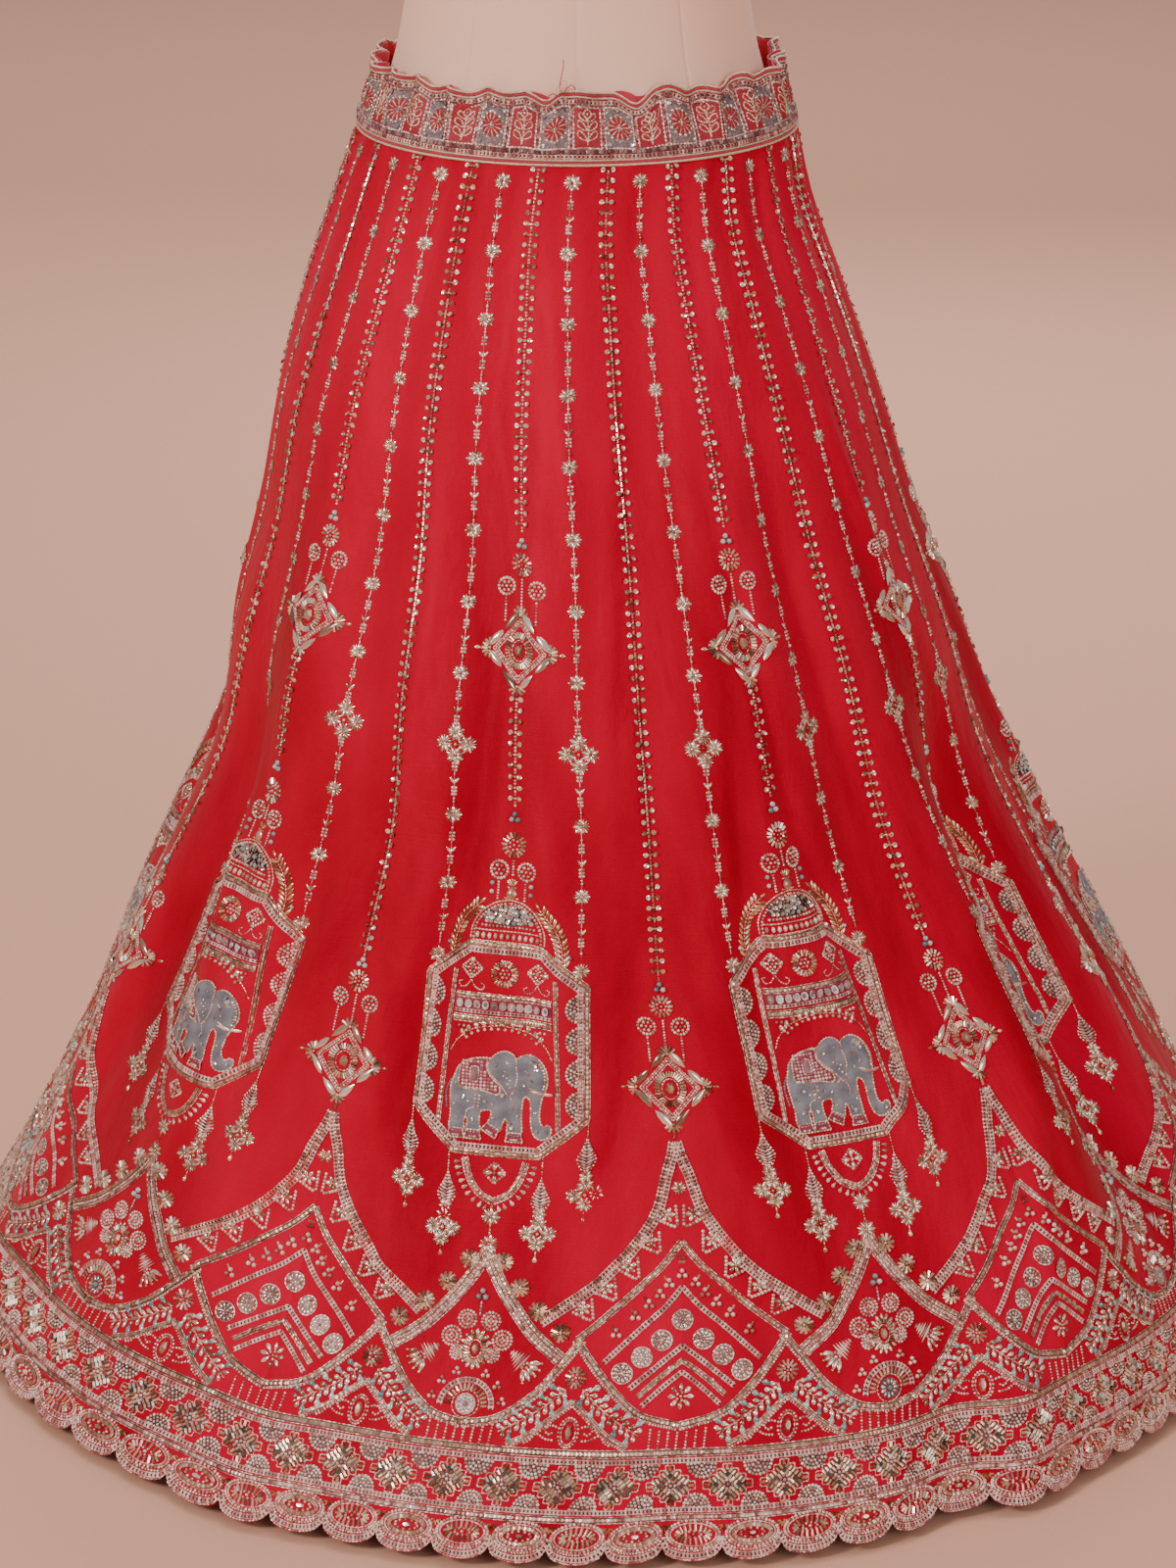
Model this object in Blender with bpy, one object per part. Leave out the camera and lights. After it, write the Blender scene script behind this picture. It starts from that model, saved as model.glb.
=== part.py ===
"""A gored lehenga skirt standing on a limbless dress form.

Ten kalis (gores) are seamed side by side into one flared, scalloped cloth wall,
gathered into a ruffled waistband with a facing behind it. The waistband rests on
the hips of a padded torso, which a pole carries on a round base.

Metres, +Z up. The origin is the middle of the base's underside, on the floor.
The skirt's front faces -Y, and +X is on the right of someone who looks at it.
A turn is an angle in degrees about the form's axis: 0 at the front, + toward +X.
A drop is a share of the skirt's height: 0 at the waistband, 1 at the hem.
"""
import math
from collections import namedtuple

import bmesh
import bpy
import numpy as np

# ---------------------------------------------------------------- driving sizes
SKIRT_HEIGHT = 0.910        # waistband's lower edge down to the hem's lowest points
HEM_CLEAR = 0.008           # the hem hangs this far above the floor
WAIST_RISE = 0.0085         # of the waist seam at the sides, above SKIRT_HEIGHT
WAIST_TILT = 0.0115         # the waist seam is this much lower in front, higher behind
WALL = 0.0016               # silk face and its backing
SEAM_GAP = 0.0003           # between neighbouring pieces

KALIS = 10
KNEE_DROP = 0.65            # the middle height at which SEAMS gives each seam's turn
SCALLOPS = 8                # along the hem of one kali
SCALLOP_RISE = 0.0085       # of the notch between two scallops

GATHERS = 34                # soft gathers round the waist seam
GATHER_DEPTH = 0.0021
GATHER_FADE = 0.24          # drop at which the gathers have run out
GATHER_PINCH = 0.35         # share of their depth that is left at the seam itself
GATHER_OPEN = 0.05          # drop at which they reach their full depth
GATHER_DRIFT = 0.9          # how unevenly they are spaced, in radians of phase
GATHER_SWINGS = 3           # times that unevenness comes and goes round the waist
GATHER_START = 0.7          # phase of those swings at the front, in radians
FOLD_FADE = 0.4             # share of a fold's length over which either end fades

BAND_TALL = 0.049
BAND_WALL = 0.0018
FACING_WALL = 0.0010
FORM_GAP = 0.0004           # between the facing and the hips at the waist seam
RUFFLE_DEPTH = 0.0040       # of the waistband's waves, at its top edge
RUFFLE_LIFT = 0.0022        # up and down of the top edge
RUFFLE_LEAD = 1.2           # radians by which that lift runs ahead of the waves
FACING_DIP = 0.0012         # the facing stops this far below the band's top edge

BASE_RADIUS = 0.190
BASE_THICK = 0.016
BASE_BEVEL = 0.004
POLE_RADIUS = 0.0160
CAP_RADIUS = 0.047
CAP_THICK = 0.014
KNOB_RADIUS = 0.013
KNOB_TALL = 0.022
KNOB_FOOT = 0.003           # height of the slope from the cap up to the knob
KNOB_SHOULDER = 0.6         # share of its height at which the knob starts to narrow
KNOB_CROWN = 0.55           # share of its radius that is left at the top
SHARP_EDGE = 40.0           # degrees; edges that bend more are shaded sharp

# The skirt's level sections: half sizes across (X) and through (Y), and how far
# the middle of each section lies from the form's axis.
Section = namedtuple("Section", "drop half_width half_depth shift_x shift_y")
SKIRT_SECTIONS = (
    Section(0.00, 0.1635, 0.1280, 0.0000, -0.012),
    Section(0.05, 0.1760, 0.1480, -0.0035, -0.011),
    Section(0.12, 0.2000, 0.1780, -0.0030, -0.010),
    Section(0.20, 0.2250, 0.2080, -0.0005, -0.009),
    Section(0.30, 0.2485, 0.2500, 0.0070, -0.008),
    Section(0.40, 0.2780, 0.2900, 0.0125, -0.007),
    Section(0.50, 0.3010, 0.3220, 0.0190, -0.006),
    Section(0.60, 0.3420, 0.3520, 0.0225, -0.005),
    Section(0.70, 0.3880, 0.3800, 0.0285, -0.004),
    Section(0.80, 0.4330, 0.4160, 0.0350, -0.003),
    Section(0.90, 0.4800, 0.4700, 0.0360, -0.002),
    Section(1.00, 0.5230, 0.5360, 0.0225, 0.000),
)

# The turn of each seam at the waist, at knee height and at the hem. kali_01 lies
# between the first two, kali_10 between the last and the first.
Seam = namedtuple("Seam", "waist knee hem")
SEAMS = (
    Seam(-27.0, -31.0, -32.0),
    Seam(8.0, 6.0, 4.0),
    Seam(41.0, 42.5, 41.0),
    Seam(75.0, 73.0, 74.0),
    Seam(110.0, 108.5, 109.5),
    Seam(146.0, 144.0, 145.0),
    Seam(182.0, 179.5, 180.0),
    Seam(219.0, 214.5, 214.0),
    Seam(257.0, 249.0, 247.0),
    Seam(298.0, 284.0, 280.0),
)

# Hand-placed folds: each is a soft ridge (+) or trough (-) that runs down the
# cloth from one drop to another. Below 1.0 it fades out, past 1.0 it meets the hem.
Fold = namedtuple("Fold", "turn depth half_turn top bottom")
FOLDS = (
    Fold(-17.0, -0.0085, 5.0, 0.00, 0.46),
    Fold(-3.5, 0.0040, 5.5, 0.00, 0.60),
    Fold(12.5, -0.0070, 4.5, 0.00, 0.50),
    Fold(22.0, 0.0045, 6.0, 0.05, 0.70),
    Fold(36.0, -0.0110, 5.0, 0.08, 0.72),
    Fold(50.0, 0.0160, 5.5, 0.40, 0.93),
    Fold(60.0, -0.0340, 5.5, 0.38, 0.96),
    Fold(70.0, 0.0100, 5.0, 0.45, 1.20),
    Fold(-37.0, -0.0080, 5.0, 0.05, 0.55),
    Fold(-50.0, 0.0080, 6.0, 0.20, 0.85),
    Fold(-64.0, -0.0160, 6.0, 0.25, 0.90),
    Fold(-76.0, 0.0110, 6.0, 0.45, 1.20),
    Fold(29.5, -0.0130, 4.5, 0.80, 1.25),
    Fold(35.0, 0.0120, 4.0, 0.80, 1.25),
    Fold(4.5, -0.0050, 4.0, 0.86, 1.25),
    Fold(-31.0, 0.0070, 5.0, 0.76, 1.25),
    Fold(-90.0, -0.0110, 6.0, 0.10, 0.75),
    Fold(-103.0, 0.0120, 6.0, 0.35, 1.20),
    Fold(-117.0, -0.0200, 6.0, 0.30, 1.20),
    Fold(-131.0, 0.0080, 5.0, 0.20, 0.80),
    Fold(-146.0, -0.0120, 5.5, 0.06, 0.66),
    Fold(-158.0, 0.0100, 6.0, 0.55, 1.20),
    Fold(-171.0, -0.0090, 5.0, 0.00, 0.58),
    Fold(176.0, 0.0070, 6.0, 0.50, 1.20),
    Fold(163.0, -0.0180, 6.0, 0.40, 1.20),
    Fold(150.0, 0.0090, 5.5, 0.20, 0.90),
    Fold(137.0, -0.0100, 5.0, 0.04, 0.62),
    Fold(124.0, 0.0100, 5.5, 0.55, 1.20),
    Fold(110.0, -0.0170, 6.0, 0.28, 1.20),
    Fold(95.0, 0.0080, 5.5, 0.30, 0.95),
    Fold(83.0, -0.0090, 5.0, 0.05, 0.60),
)

# Rows of points down a kali. The two lowest carry twice as many columns, four
# to a scallop, and the last follows the scalloped edge.
KALI_ROWS = (0.0, 0.022, 0.06, 0.12, 0.20, 0.30, 0.41, 0.52, 0.62, 0.71, 0.80, 0.88, 0.94)
LAST_ROW = 0.972

# The waistband's uneven ruffle: each wave pushes the top edge out from the form.
Wave = namedtuple("Wave", "turn push half_turn")
BAND_WAVES = (
    Wave(-4.0, 0.0050, 4.0),
    Wave(13.0, -0.0030, 5.0),
    Wave(38.0, 0.0040, 7.0),
    Wave(74.0, 0.0060, 9.0),
    Wave(112.0, 0.0090, 14.0),
    Wave(-40.0, 0.0030, 7.0),
    Wave(-71.0, 0.0050, 8.0),
    Wave(-128.0, 0.0060, 12.0),
    Wave(170.0, 0.0050, 12.0),
)
BAND_RUFFLES = 27
SMALL_RUFFLES = 46          # shallower waves between them
SMALL_SHARE = 0.3           # of the depth of the larger ones
RUFFLE_DRIFT = 1.1          # how unevenly both are spaced, in radians of phase
RUFFLE_SWINGS = 2           # times that unevenness comes and goes round the waist
RUFFLE_START = 0.4          # phase of those swings at the front, in radians
BAND_COLUMNS = 150
BAND_LEVELS = 2
BAND_LEAN = 0.0160          # the band leans in by this much over its height

# Level sections of the form's torso, from its flat underside up to the neck.
Ring = namedtuple("Ring", "height half_width half_depth shift_y")
TORSO_RINGS = (
    Ring(0.700, 0.1380, 0.1050, -0.005),
    Ring(0.725, 0.1540, 0.1190, -0.007),
    Ring(0.780, 0.1680, 0.1320, -0.010),
    Ring(0.850, 0.1700, 0.1350, -0.012),
    Ring(0.914, 0.1622, 0.1250, -0.012),
    Ring(0.967, 0.1385, 0.1060, -0.012),
    Ring(1.015, 0.1278, 0.0960, -0.011),
    Ring(1.070, 0.1215, 0.0900, -0.009),
    Ring(1.140, 0.1280, 0.0970, -0.010),
    Ring(1.230, 0.1430, 0.1180, -0.016),
    Ring(1.310, 0.1540, 0.1080, -0.008),
    Ring(1.375, 0.1600, 0.0900, 0.000),
    Ring(1.415, 0.1450, 0.0740, 0.004),
    Ring(1.442, 0.0980, 0.0610, 0.006),
    Ring(1.465, 0.0620, 0.0530, 0.006),
    Ring(1.500, 0.0540, 0.0500, 0.005),
    Ring(1.530, 0.0520, 0.0480, 0.004),
)
TORSO_COLUMNS = 40

# ------------------------------------------------------------------- finishes
Finish = namedtuple("Finish", "colour roughness metallic")
RED_SILK = Finish((0.60, 0.004, 0.022), 0.42, 0.0)
CRIMSON_LINING = Finish((0.52, 0.006, 0.030), 0.55, 0.0)
BAND_CLOTH = Finish((0.42, 0.060, 0.080), 0.50, 0.1)
FORM_CLOTH = Finish((0.72, 0.50, 0.40), 0.80, 0.0)
POLE_STEEL = Finish((0.60, 0.60, 0.62), 0.30, 1.0)
BASE_PAINT = Finish((0.05, 0.05, 0.055), 0.45, 0.2)
CAP_WOOD = Finish((0.30, 0.16, 0.08), 0.40, 0.0)


def clear_scene():
    for thing in list(bpy.data.objects):
        bpy.data.objects.remove(thing, do_unlink=True)


def material(name, finish):
    made = bpy.data.materials.new(name)
    made.use_nodes = True
    shader = made.node_tree.nodes["Principled BSDF"]
    shader.inputs["Base Color"].default_value = (*finish.colour, 1.0)
    shader.inputs["Roughness"].default_value = finish.roughness
    shader.inputs["Metallic"].default_value = finish.metallic
    return made


def smooth_step(value):
    value = np.clip(value, 0.0, 1.0)
    return value * value * (3.0 - 2.0 * value)


def table_curve(rows, key, name, at):
    """A smooth curve through one named column of a table, read at any value."""
    keys = np.array([getattr(row, key) for row in rows])
    values = np.array([getattr(row, name) for row in rows])
    slopes = np.gradient(values, keys)
    at = np.clip(at, keys[0], keys[-1])
    index = np.clip(np.searchsorted(keys, at, side="right") - 1, 0, len(keys) - 2)
    span = keys[index + 1] - keys[index]
    part = (at - keys[index]) / span
    rise = smooth_step(part)
    ease_in = part * (1.0 - part) ** 2
    ease_out = part ** 2 * (part - 1.0)
    ends = values[index] * (1.0 - rise) + values[index + 1] * rise
    return ends + span * (ease_in * slopes[index] + ease_out * slopes[index + 1])


def turn_between(turn, middle):
    return (turn - middle + 180.0) % 360.0 - 180.0


# ----------------------------------------------------------------- the cloth wall
def fold_push(turn, drop):
    """How far the folds and gathers push the cloth outward."""
    push = np.zeros_like(turn)
    for fold in FOLDS:
        ramp = FOLD_FADE * (fold.bottom - fold.top)
        along = smooth_step((drop - fold.top) / ramp) * smooth_step((fold.bottom - drop) / ramp)
        across = np.exp(-(turn_between(turn, fold.turn) / fold.half_turn) ** 2)
        push = push + fold.depth * along * across
    angle = np.radians(turn)
    phase = GATHERS * angle + GATHER_DRIFT * np.sin(GATHER_SWINGS * angle + GATHER_START)
    opened = GATHER_PINCH + (1.0 - GATHER_PINCH) * smooth_step(drop / GATHER_OPEN)
    fade = smooth_step(1.0 - drop / GATHER_FADE)
    return push + GATHER_DEPTH * opened * fade * np.sin(phase)


def waist_height(turn):
    """Height of the waist seam above the floor."""
    return HEM_CLEAR + SKIRT_HEIGHT + WAIST_RISE - WAIST_TILT * np.cos(np.radians(turn))


def skirt_surface(turn, drop):
    """Points of the skirt's outer face."""
    turn, drop = np.broadcast_arrays(np.asarray(turn, float), np.asarray(drop, float))
    columns = {name: table_curve(SKIRT_SECTIONS, "drop", name, drop)
               for name in ("half_width", "half_depth", "shift_x", "shift_y")}
    push = fold_push(turn, drop)
    angle = np.radians(turn)
    x = columns["shift_x"] + (columns["half_width"] + push) * np.sin(angle)
    y = columns["shift_y"] - (columns["half_depth"] + push) * np.cos(angle)
    z = drop * HEM_CLEAR + (1.0 - drop) * waist_height(turn)
    return np.stack([x, y, z], axis=-1)


def outward(surface, turn, drop, step_turn=0.4, step_drop=0.004):
    """Unit normals of a surface(turn, drop), pointing away from the form."""
    across = surface(turn + step_turn, drop) - surface(turn - step_turn, drop)
    down = surface(turn, drop + step_drop) - surface(turn, drop - step_drop)
    normal = np.cross(down, across)
    return normal / np.linalg.norm(normal, axis=-1, keepdims=True)


def scallop_notch(share):
    """Rise of the hem at a share (0 to 1) of the way across one scallop."""
    return SCALLOP_RISE * (1.0 - np.sqrt(np.clip(1.0 - (2.0 * share - 1.0) ** 2, 0.0, 1.0)))


def seam_turn(number, drop):
    """Turn of a seam at a drop; seam 10 is seam 0, once round."""
    seam = SEAMS[number % KALIS]
    upper = seam.waist + (seam.knee - seam.waist) * smooth_step(drop / KNEE_DROP)
    lower = (seam.hem - seam.knee) * smooth_step((drop - KNEE_DROP) / (1.0 - KNEE_DROP))
    return upper + lower + 360.0 * (number // KALIS)


def kali_row(number, drop, count):
    """Turns and drops of one row of a kali, held back from its two seams."""
    radius = table_curve(SKIRT_SECTIONS, "drop", "half_width", np.array([drop]))[0]
    inset = math.degrees(0.5 * SEAM_GAP / radius)
    shares = np.linspace(0.0, 1.0, count + 1)
    start = seam_turn(number - 1, drop) + inset
    end = seam_turn(number, drop) - inset
    turns = start + shares * (end - start)
    drops = np.full(count + 1, drop)
    if drop >= 1.0:
        drops = drops - scallop_notch((shares * SCALLOPS) % 1.0) / SKIRT_HEIGHT
    return turns, drops


def wall_mesh(name, rows, closed):
    """One closed solid from rows of (outer points, inner points), top row first.

    A row may hold twice as many points as the one above it. With closed, each row
    is a full ring; otherwise the wall ends in a narrow face at either side.
    """
    mesh = bmesh.new()
    outer = [[mesh.verts.new(point) for point in row[0]] for row in rows]
    inner = [[mesh.verts.new(point) for point in row[1]] for row in rows]

    def face(*corners):
        mesh.faces.new(corners)

    for skin, flip in ((outer, False), (inner, True)):
        for above, below in zip(skin, skin[1:]):
            count = len(above) if closed else len(above) - 1
            ratio = 1 if len(above) == len(below) else 2
            for i in range(count):
                j = (i + 1) % len(above)
                low = [below[(ratio * i + k) % len(below)] for k in range(ratio + 1)]
                if ratio == 1:
                    faces = [(above[i], low[0], low[1], above[j])]
                else:
                    faces = [(above[i], low[0], low[1]), (above[i], low[1], above[j]),
                             (above[j], low[1], low[2])]
                for corners in faces:
                    face(*(reversed(corners) if flip else corners))
    for edge, flip in ((0, True), (-1, False)):
        count = len(outer[edge]) if closed else len(outer[edge]) - 1
        for i in range(count):
            j = (i + 1) % len(outer[edge])
            corners = (outer[edge][i], inner[edge][i], inner[edge][j], outer[edge][j])
            face(*(reversed(corners) if flip else corners))
    if not closed:
        for k in range(len(rows) - 1):
            face(outer[k][0], inner[k][0], inner[k + 1][0], outer[k + 1][0])
            face(outer[k + 1][-1], inner[k + 1][-1], inner[k][-1], outer[k][-1])
    bmesh.ops.triangulate(mesh, faces=mesh.faces[:])
    bmesh.ops.recalc_face_normals(mesh, faces=mesh.faces[:])
    data = bpy.data.meshes.new(name)
    mesh.to_mesh(data)
    mesh.free()
    return data


def add_node(name, data, made):
    node = bpy.data.objects.new(name, data)
    bpy.context.scene.collection.objects.link(node)
    data.materials.append(made)
    data.shade_smooth()
    data.set_sharp_from_angle(angle=math.radians(SHARP_EDGE))
    return node


def make_kali(number, made):
    columns = 2 * SCALLOPS
    plan = [(drop, columns) for drop in KALI_ROWS]
    plan += [(LAST_ROW, 2 * columns), (1.0, 2 * columns)]
    rows = []
    for drop, count in plan:
        turns, drops = kali_row(number, drop, count)
        face = skirt_surface(turns, drops)
        rows.append((face, face - WALL * outward(skirt_surface, turns, drops)))
    name = f"kali_{number:02d}"
    return add_node(name, wall_mesh(name, rows, closed=False), made)


# ------------------------------------------------------------ waistband and facing
def against_form(name, height):
    """The band's half size where it and its facing press on the form."""
    heights = [ring.height for ring in TORSO_RINGS]
    halves = [getattr(ring, name) for ring in TORSO_RINGS]
    layers = BAND_WALL + SEAM_GAP + FACING_WALL + FORM_GAP
    return np.interp(height, heights, halves) + layers


def band_surface(turn, rise):
    """Points of the waistband's outer face; rise is 0 at its seam, 1 at its top."""
    turn, rise = np.broadcast_arrays(np.asarray(turn, float), np.asarray(rise, float))
    angle = np.radians(turn)
    drift = RUFFLE_DRIFT * np.sin(RUFFLE_SWINGS * angle + RUFFLE_START)
    phase = BAND_RUFFLES * angle + drift
    small = np.sin(SMALL_RUFFLES * angle + drift)
    push = RUFFLE_DEPTH * (np.sin(phase) + SMALL_SHARE * small)
    for wave in BAND_WAVES:
        push = push + wave.push * np.exp(-(turn_between(turn, wave.turn) / wave.half_turn) ** 2)
    spread = smooth_step(rise)
    push = (push - BAND_LEAN) * spread
    lift = RUFFLE_LIFT * np.sin(phase + RUFFLE_LEAD) * spread
    z = waist_height(turn) + SEAM_GAP + BAND_TALL * rise + lift
    seam = SKIRT_SECTIONS[0]
    half_width = np.maximum(seam.half_width + push, against_form("half_width", z))
    half_depth = np.maximum(seam.half_depth + push, against_form("half_depth", z))
    x = seam.shift_x + half_width * np.sin(angle)
    y = seam.shift_y - half_depth * np.cos(angle)
    return np.stack([x, y, z], axis=-1)


def band_rows(inset, wall, dip):
    """Rows of a ring that lies inset inside the waistband's outer face.

    Its top edge stops dip below the band's, on the straight run between two rows.
    """
    turns = np.arange(BAND_COLUMNS) * 360.0 / BAND_COLUMNS
    rows = []
    for level in range(BAND_LEVELS, -1, -1):
        face = band_surface(turns, level / BAND_LEVELS)
        along = np.roll(face, -1, axis=0) - np.roll(face, 1, axis=0)
        away = np.stack([along[:, 1], -along[:, 0], np.zeros(BAND_COLUMNS)], axis=-1)
        away /= np.linalg.norm(away, axis=-1, keepdims=True)
        rows.append((face - inset * away, face - (inset + wall) * away))
    share = dip / (BAND_TALL / BAND_LEVELS)
    rows[0] = tuple(top + share * (low - top) for top, low in zip(rows[0], rows[1]))
    return rows


def make_waistband(made):
    rows = band_rows(0.0, BAND_WALL, 0.0)
    return add_node("waistband", wall_mesh("waistband", rows, closed=True), made)


def make_facing(made):
    rows = band_rows(BAND_WALL + SEAM_GAP, FACING_WALL, FACING_DIP)
    return add_node("waistband_facing", wall_mesh("waistband_facing", rows, closed=True), made)


# ----------------------------------------------------------------- the dress form
def capped_rings(name, rings):
    """A closed solid from level rings of points, listed from the bottom up."""
    mesh = bmesh.new()
    loops = [[mesh.verts.new(point) for point in ring] for ring in rings]
    for low, high in zip(loops, loops[1:]):
        for i in range(len(low)):
            j = (i + 1) % len(low)
            mesh.faces.new((low[i], low[j], high[j], high[i]))
    mesh.faces.new(list(reversed(loops[0])))
    mesh.faces.new(loops[-1])
    bmesh.ops.triangulate(mesh, faces=mesh.faces[:])
    bmesh.ops.recalc_face_normals(mesh, faces=mesh.faces[:])
    data = bpy.data.meshes.new(name)
    mesh.to_mesh(data)
    mesh.free()
    return data


def make_torso(made):
    angles = np.radians(np.arange(TORSO_COLUMNS) * 360.0 / TORSO_COLUMNS)
    rings = []
    for ring in TORSO_RINGS:
        x = ring.half_width * np.sin(angles)
        y = ring.shift_y - ring.half_depth * np.cos(angles)
        rings.append([(a, b, ring.height) for a, b in zip(x, y)])
    return add_node("form_torso", capped_rings("form_torso", rings), made)


def make_turned(name, profile, made, sides=40):
    """A turned piece from a short profile of (radius, height) pairs, bottom up."""
    angles = [2.0 * math.pi * i / sides for i in range(sides)]
    rings = [[(radius * math.cos(a), radius * math.sin(a), height) for a in angles]
             for radius, height in profile]
    return add_node(name, capped_rings(name, rings), made)


def make_stand(steel, paint, wood):
    make_turned("form_base", (
        (BASE_RADIUS, 0.0),
        (BASE_RADIUS, BASE_THICK - BASE_BEVEL),
        (BASE_RADIUS - BASE_BEVEL, BASE_THICK),
    ), paint, sides=64)
    make_turned("form_pole", (
        (POLE_RADIUS, BASE_THICK + SEAM_GAP),
        (POLE_RADIUS, TORSO_RINGS[0].height - SEAM_GAP),
    ), steel, sides=24)
    neck_top = TORSO_RINGS[-1].height + SEAM_GAP
    cap = make_turned("form_cap", (
        (CAP_RADIUS, neck_top),
        (CAP_RADIUS, neck_top + CAP_THICK),
        (KNOB_RADIUS, neck_top + CAP_THICK + KNOB_FOOT),
        (KNOB_RADIUS, neck_top + CAP_THICK + KNOB_SHOULDER * KNOB_TALL),
        (KNOB_CROWN * KNOB_RADIUS, neck_top + CAP_THICK + KNOB_TALL),
    ), wood, sides=32)
    cap.location.y = TORSO_RINGS[-1].shift_y


clear_scene()
silk = material("red_silk", RED_SILK)
for kali_number in range(1, KALIS + 1):
    make_kali(kali_number, silk)
make_waistband(material("embroidered_band", BAND_CLOTH))
make_facing(material("crimson_facing", CRIMSON_LINING))
make_torso(material("form_cloth", FORM_CLOTH))
make_stand(material("pole_steel", POLE_STEEL), material("base_paint", BASE_PAINT),
           material("cap_wood", CAP_WOOD))
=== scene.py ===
import math
from collections import namedtuple

import bpy
import numpy as np
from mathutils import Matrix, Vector, geometry


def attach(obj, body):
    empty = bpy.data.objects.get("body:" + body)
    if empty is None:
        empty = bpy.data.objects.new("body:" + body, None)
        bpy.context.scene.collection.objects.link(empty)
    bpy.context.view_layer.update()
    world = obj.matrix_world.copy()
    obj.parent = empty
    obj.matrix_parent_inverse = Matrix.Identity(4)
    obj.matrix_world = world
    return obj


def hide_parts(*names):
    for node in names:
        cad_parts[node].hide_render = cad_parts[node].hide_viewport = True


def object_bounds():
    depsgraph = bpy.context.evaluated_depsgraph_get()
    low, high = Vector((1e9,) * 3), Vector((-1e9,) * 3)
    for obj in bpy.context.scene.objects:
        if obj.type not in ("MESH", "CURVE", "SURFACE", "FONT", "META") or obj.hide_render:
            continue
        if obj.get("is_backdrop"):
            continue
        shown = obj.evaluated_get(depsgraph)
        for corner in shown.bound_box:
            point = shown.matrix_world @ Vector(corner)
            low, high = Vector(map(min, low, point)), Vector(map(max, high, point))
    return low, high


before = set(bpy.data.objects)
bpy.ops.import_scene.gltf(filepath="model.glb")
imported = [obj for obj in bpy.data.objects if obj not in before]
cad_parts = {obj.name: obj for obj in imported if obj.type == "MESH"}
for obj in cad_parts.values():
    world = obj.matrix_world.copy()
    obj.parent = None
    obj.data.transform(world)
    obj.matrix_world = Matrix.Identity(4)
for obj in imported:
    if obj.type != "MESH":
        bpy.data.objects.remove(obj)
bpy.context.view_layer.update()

# ---- the camera
# It stands three metres in front of the skirt, as high as the form's shoulders, and
# looks a little down through a longer lens than the eye.
CAMERA_PLACE = (0.008, -2.98793, 1.40169)
CAMERA_DIP = 0.323          # radians below level
CAMERA_LENS = 61.02
CAMERA_FILM = 24
camera = bpy.data.objects.new("camera", bpy.data.cameras.new("camera"))
bpy.context.scene.collection.objects.link(camera)
camera.data.sensor_fit = 'VERTICAL'
camera.data.sensor_height = CAMERA_FILM
camera.data.lens = CAMERA_LENS
camera.data.clip_start = 0.05
camera.data.clip_end = 100
camera.location = CAMERA_PLACE
camera.rotation_euler = (math.pi / 2 - CAMERA_DIP, 0, 0)
bpy.context.scene.camera = camera

# ---- the ten silk kalis
# A kali is one gore of red satin silk with a thin backing, cut wider at the hem,
# seamed to its neighbours down both sides and gathered into the waistband. Its hem
# is cut in scallops. The cloth hangs in long folds with softer creases between.
SKIRT_HEIGHT = 0.91
HEM_CLEAR = 0.008
WAIST_RISE = 0.0085
WAIST_TILT = 0.0115
GATHERS = 34
GATHER_DEPTH = 0.0021
GATHER_FADE = 0.24
GATHER_PINCH = 0.35
GATHER_OPEN = 0.05
GATHER_DRIFT = 0.9
GATHER_SWINGS = 3
GATHER_START = 0.7
FOLD_FADE = 0.4
KALIS = 10
KNEE_DROP = 0.65
SCALLOPS = 8
SCALLOP_RISE = 0.0085
MM = 0.001

Section = namedtuple("Section", "drop half_width half_depth shift_x shift_y")
SKIRT_SECTIONS = [Section(*row) for row in (
    (0, 0.1635, 0.128, 0, -0.012), (0.05, 0.176, 0.148, -0.0035, -0.011), (0.12, 0.2, 0.178, -0.003, -0.01),
    (0.2, 0.225, 0.208, -0.0005, -0.009), (0.3, 0.2485, 0.25, 0.007, -0.008),
    (0.4, 0.278, 0.29, 0.0125, -0.007), (0.5, 0.301, 0.322, 0.019, -0.006),
    (0.6, 0.342, 0.352, 0.0225, -0.005), (0.7, 0.388, 0.38, 0.0285, -0.004),
    (0.8, 0.433, 0.416, 0.035, -0.003), (0.9, 0.48, 0.47, 0.036, -0.002), (1, 0.523, 0.536, 0.0225, 0))]
Seam = namedtuple("Seam", "waist knee hem")
SEAMS = [Seam(*row) for row in (
    (-27, -31, -32), (8, 6, 4), (41, 42.5, 41), (75, 73, 74), (110, 108.5, 109.5), (146, 144, 145),
    (182, 179.5, 180), (219, 214.5, 214), (257, 249, 247), (298, 284, 280))]
Fold = namedtuple("Fold", "turn depth half_turn top bottom")
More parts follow.
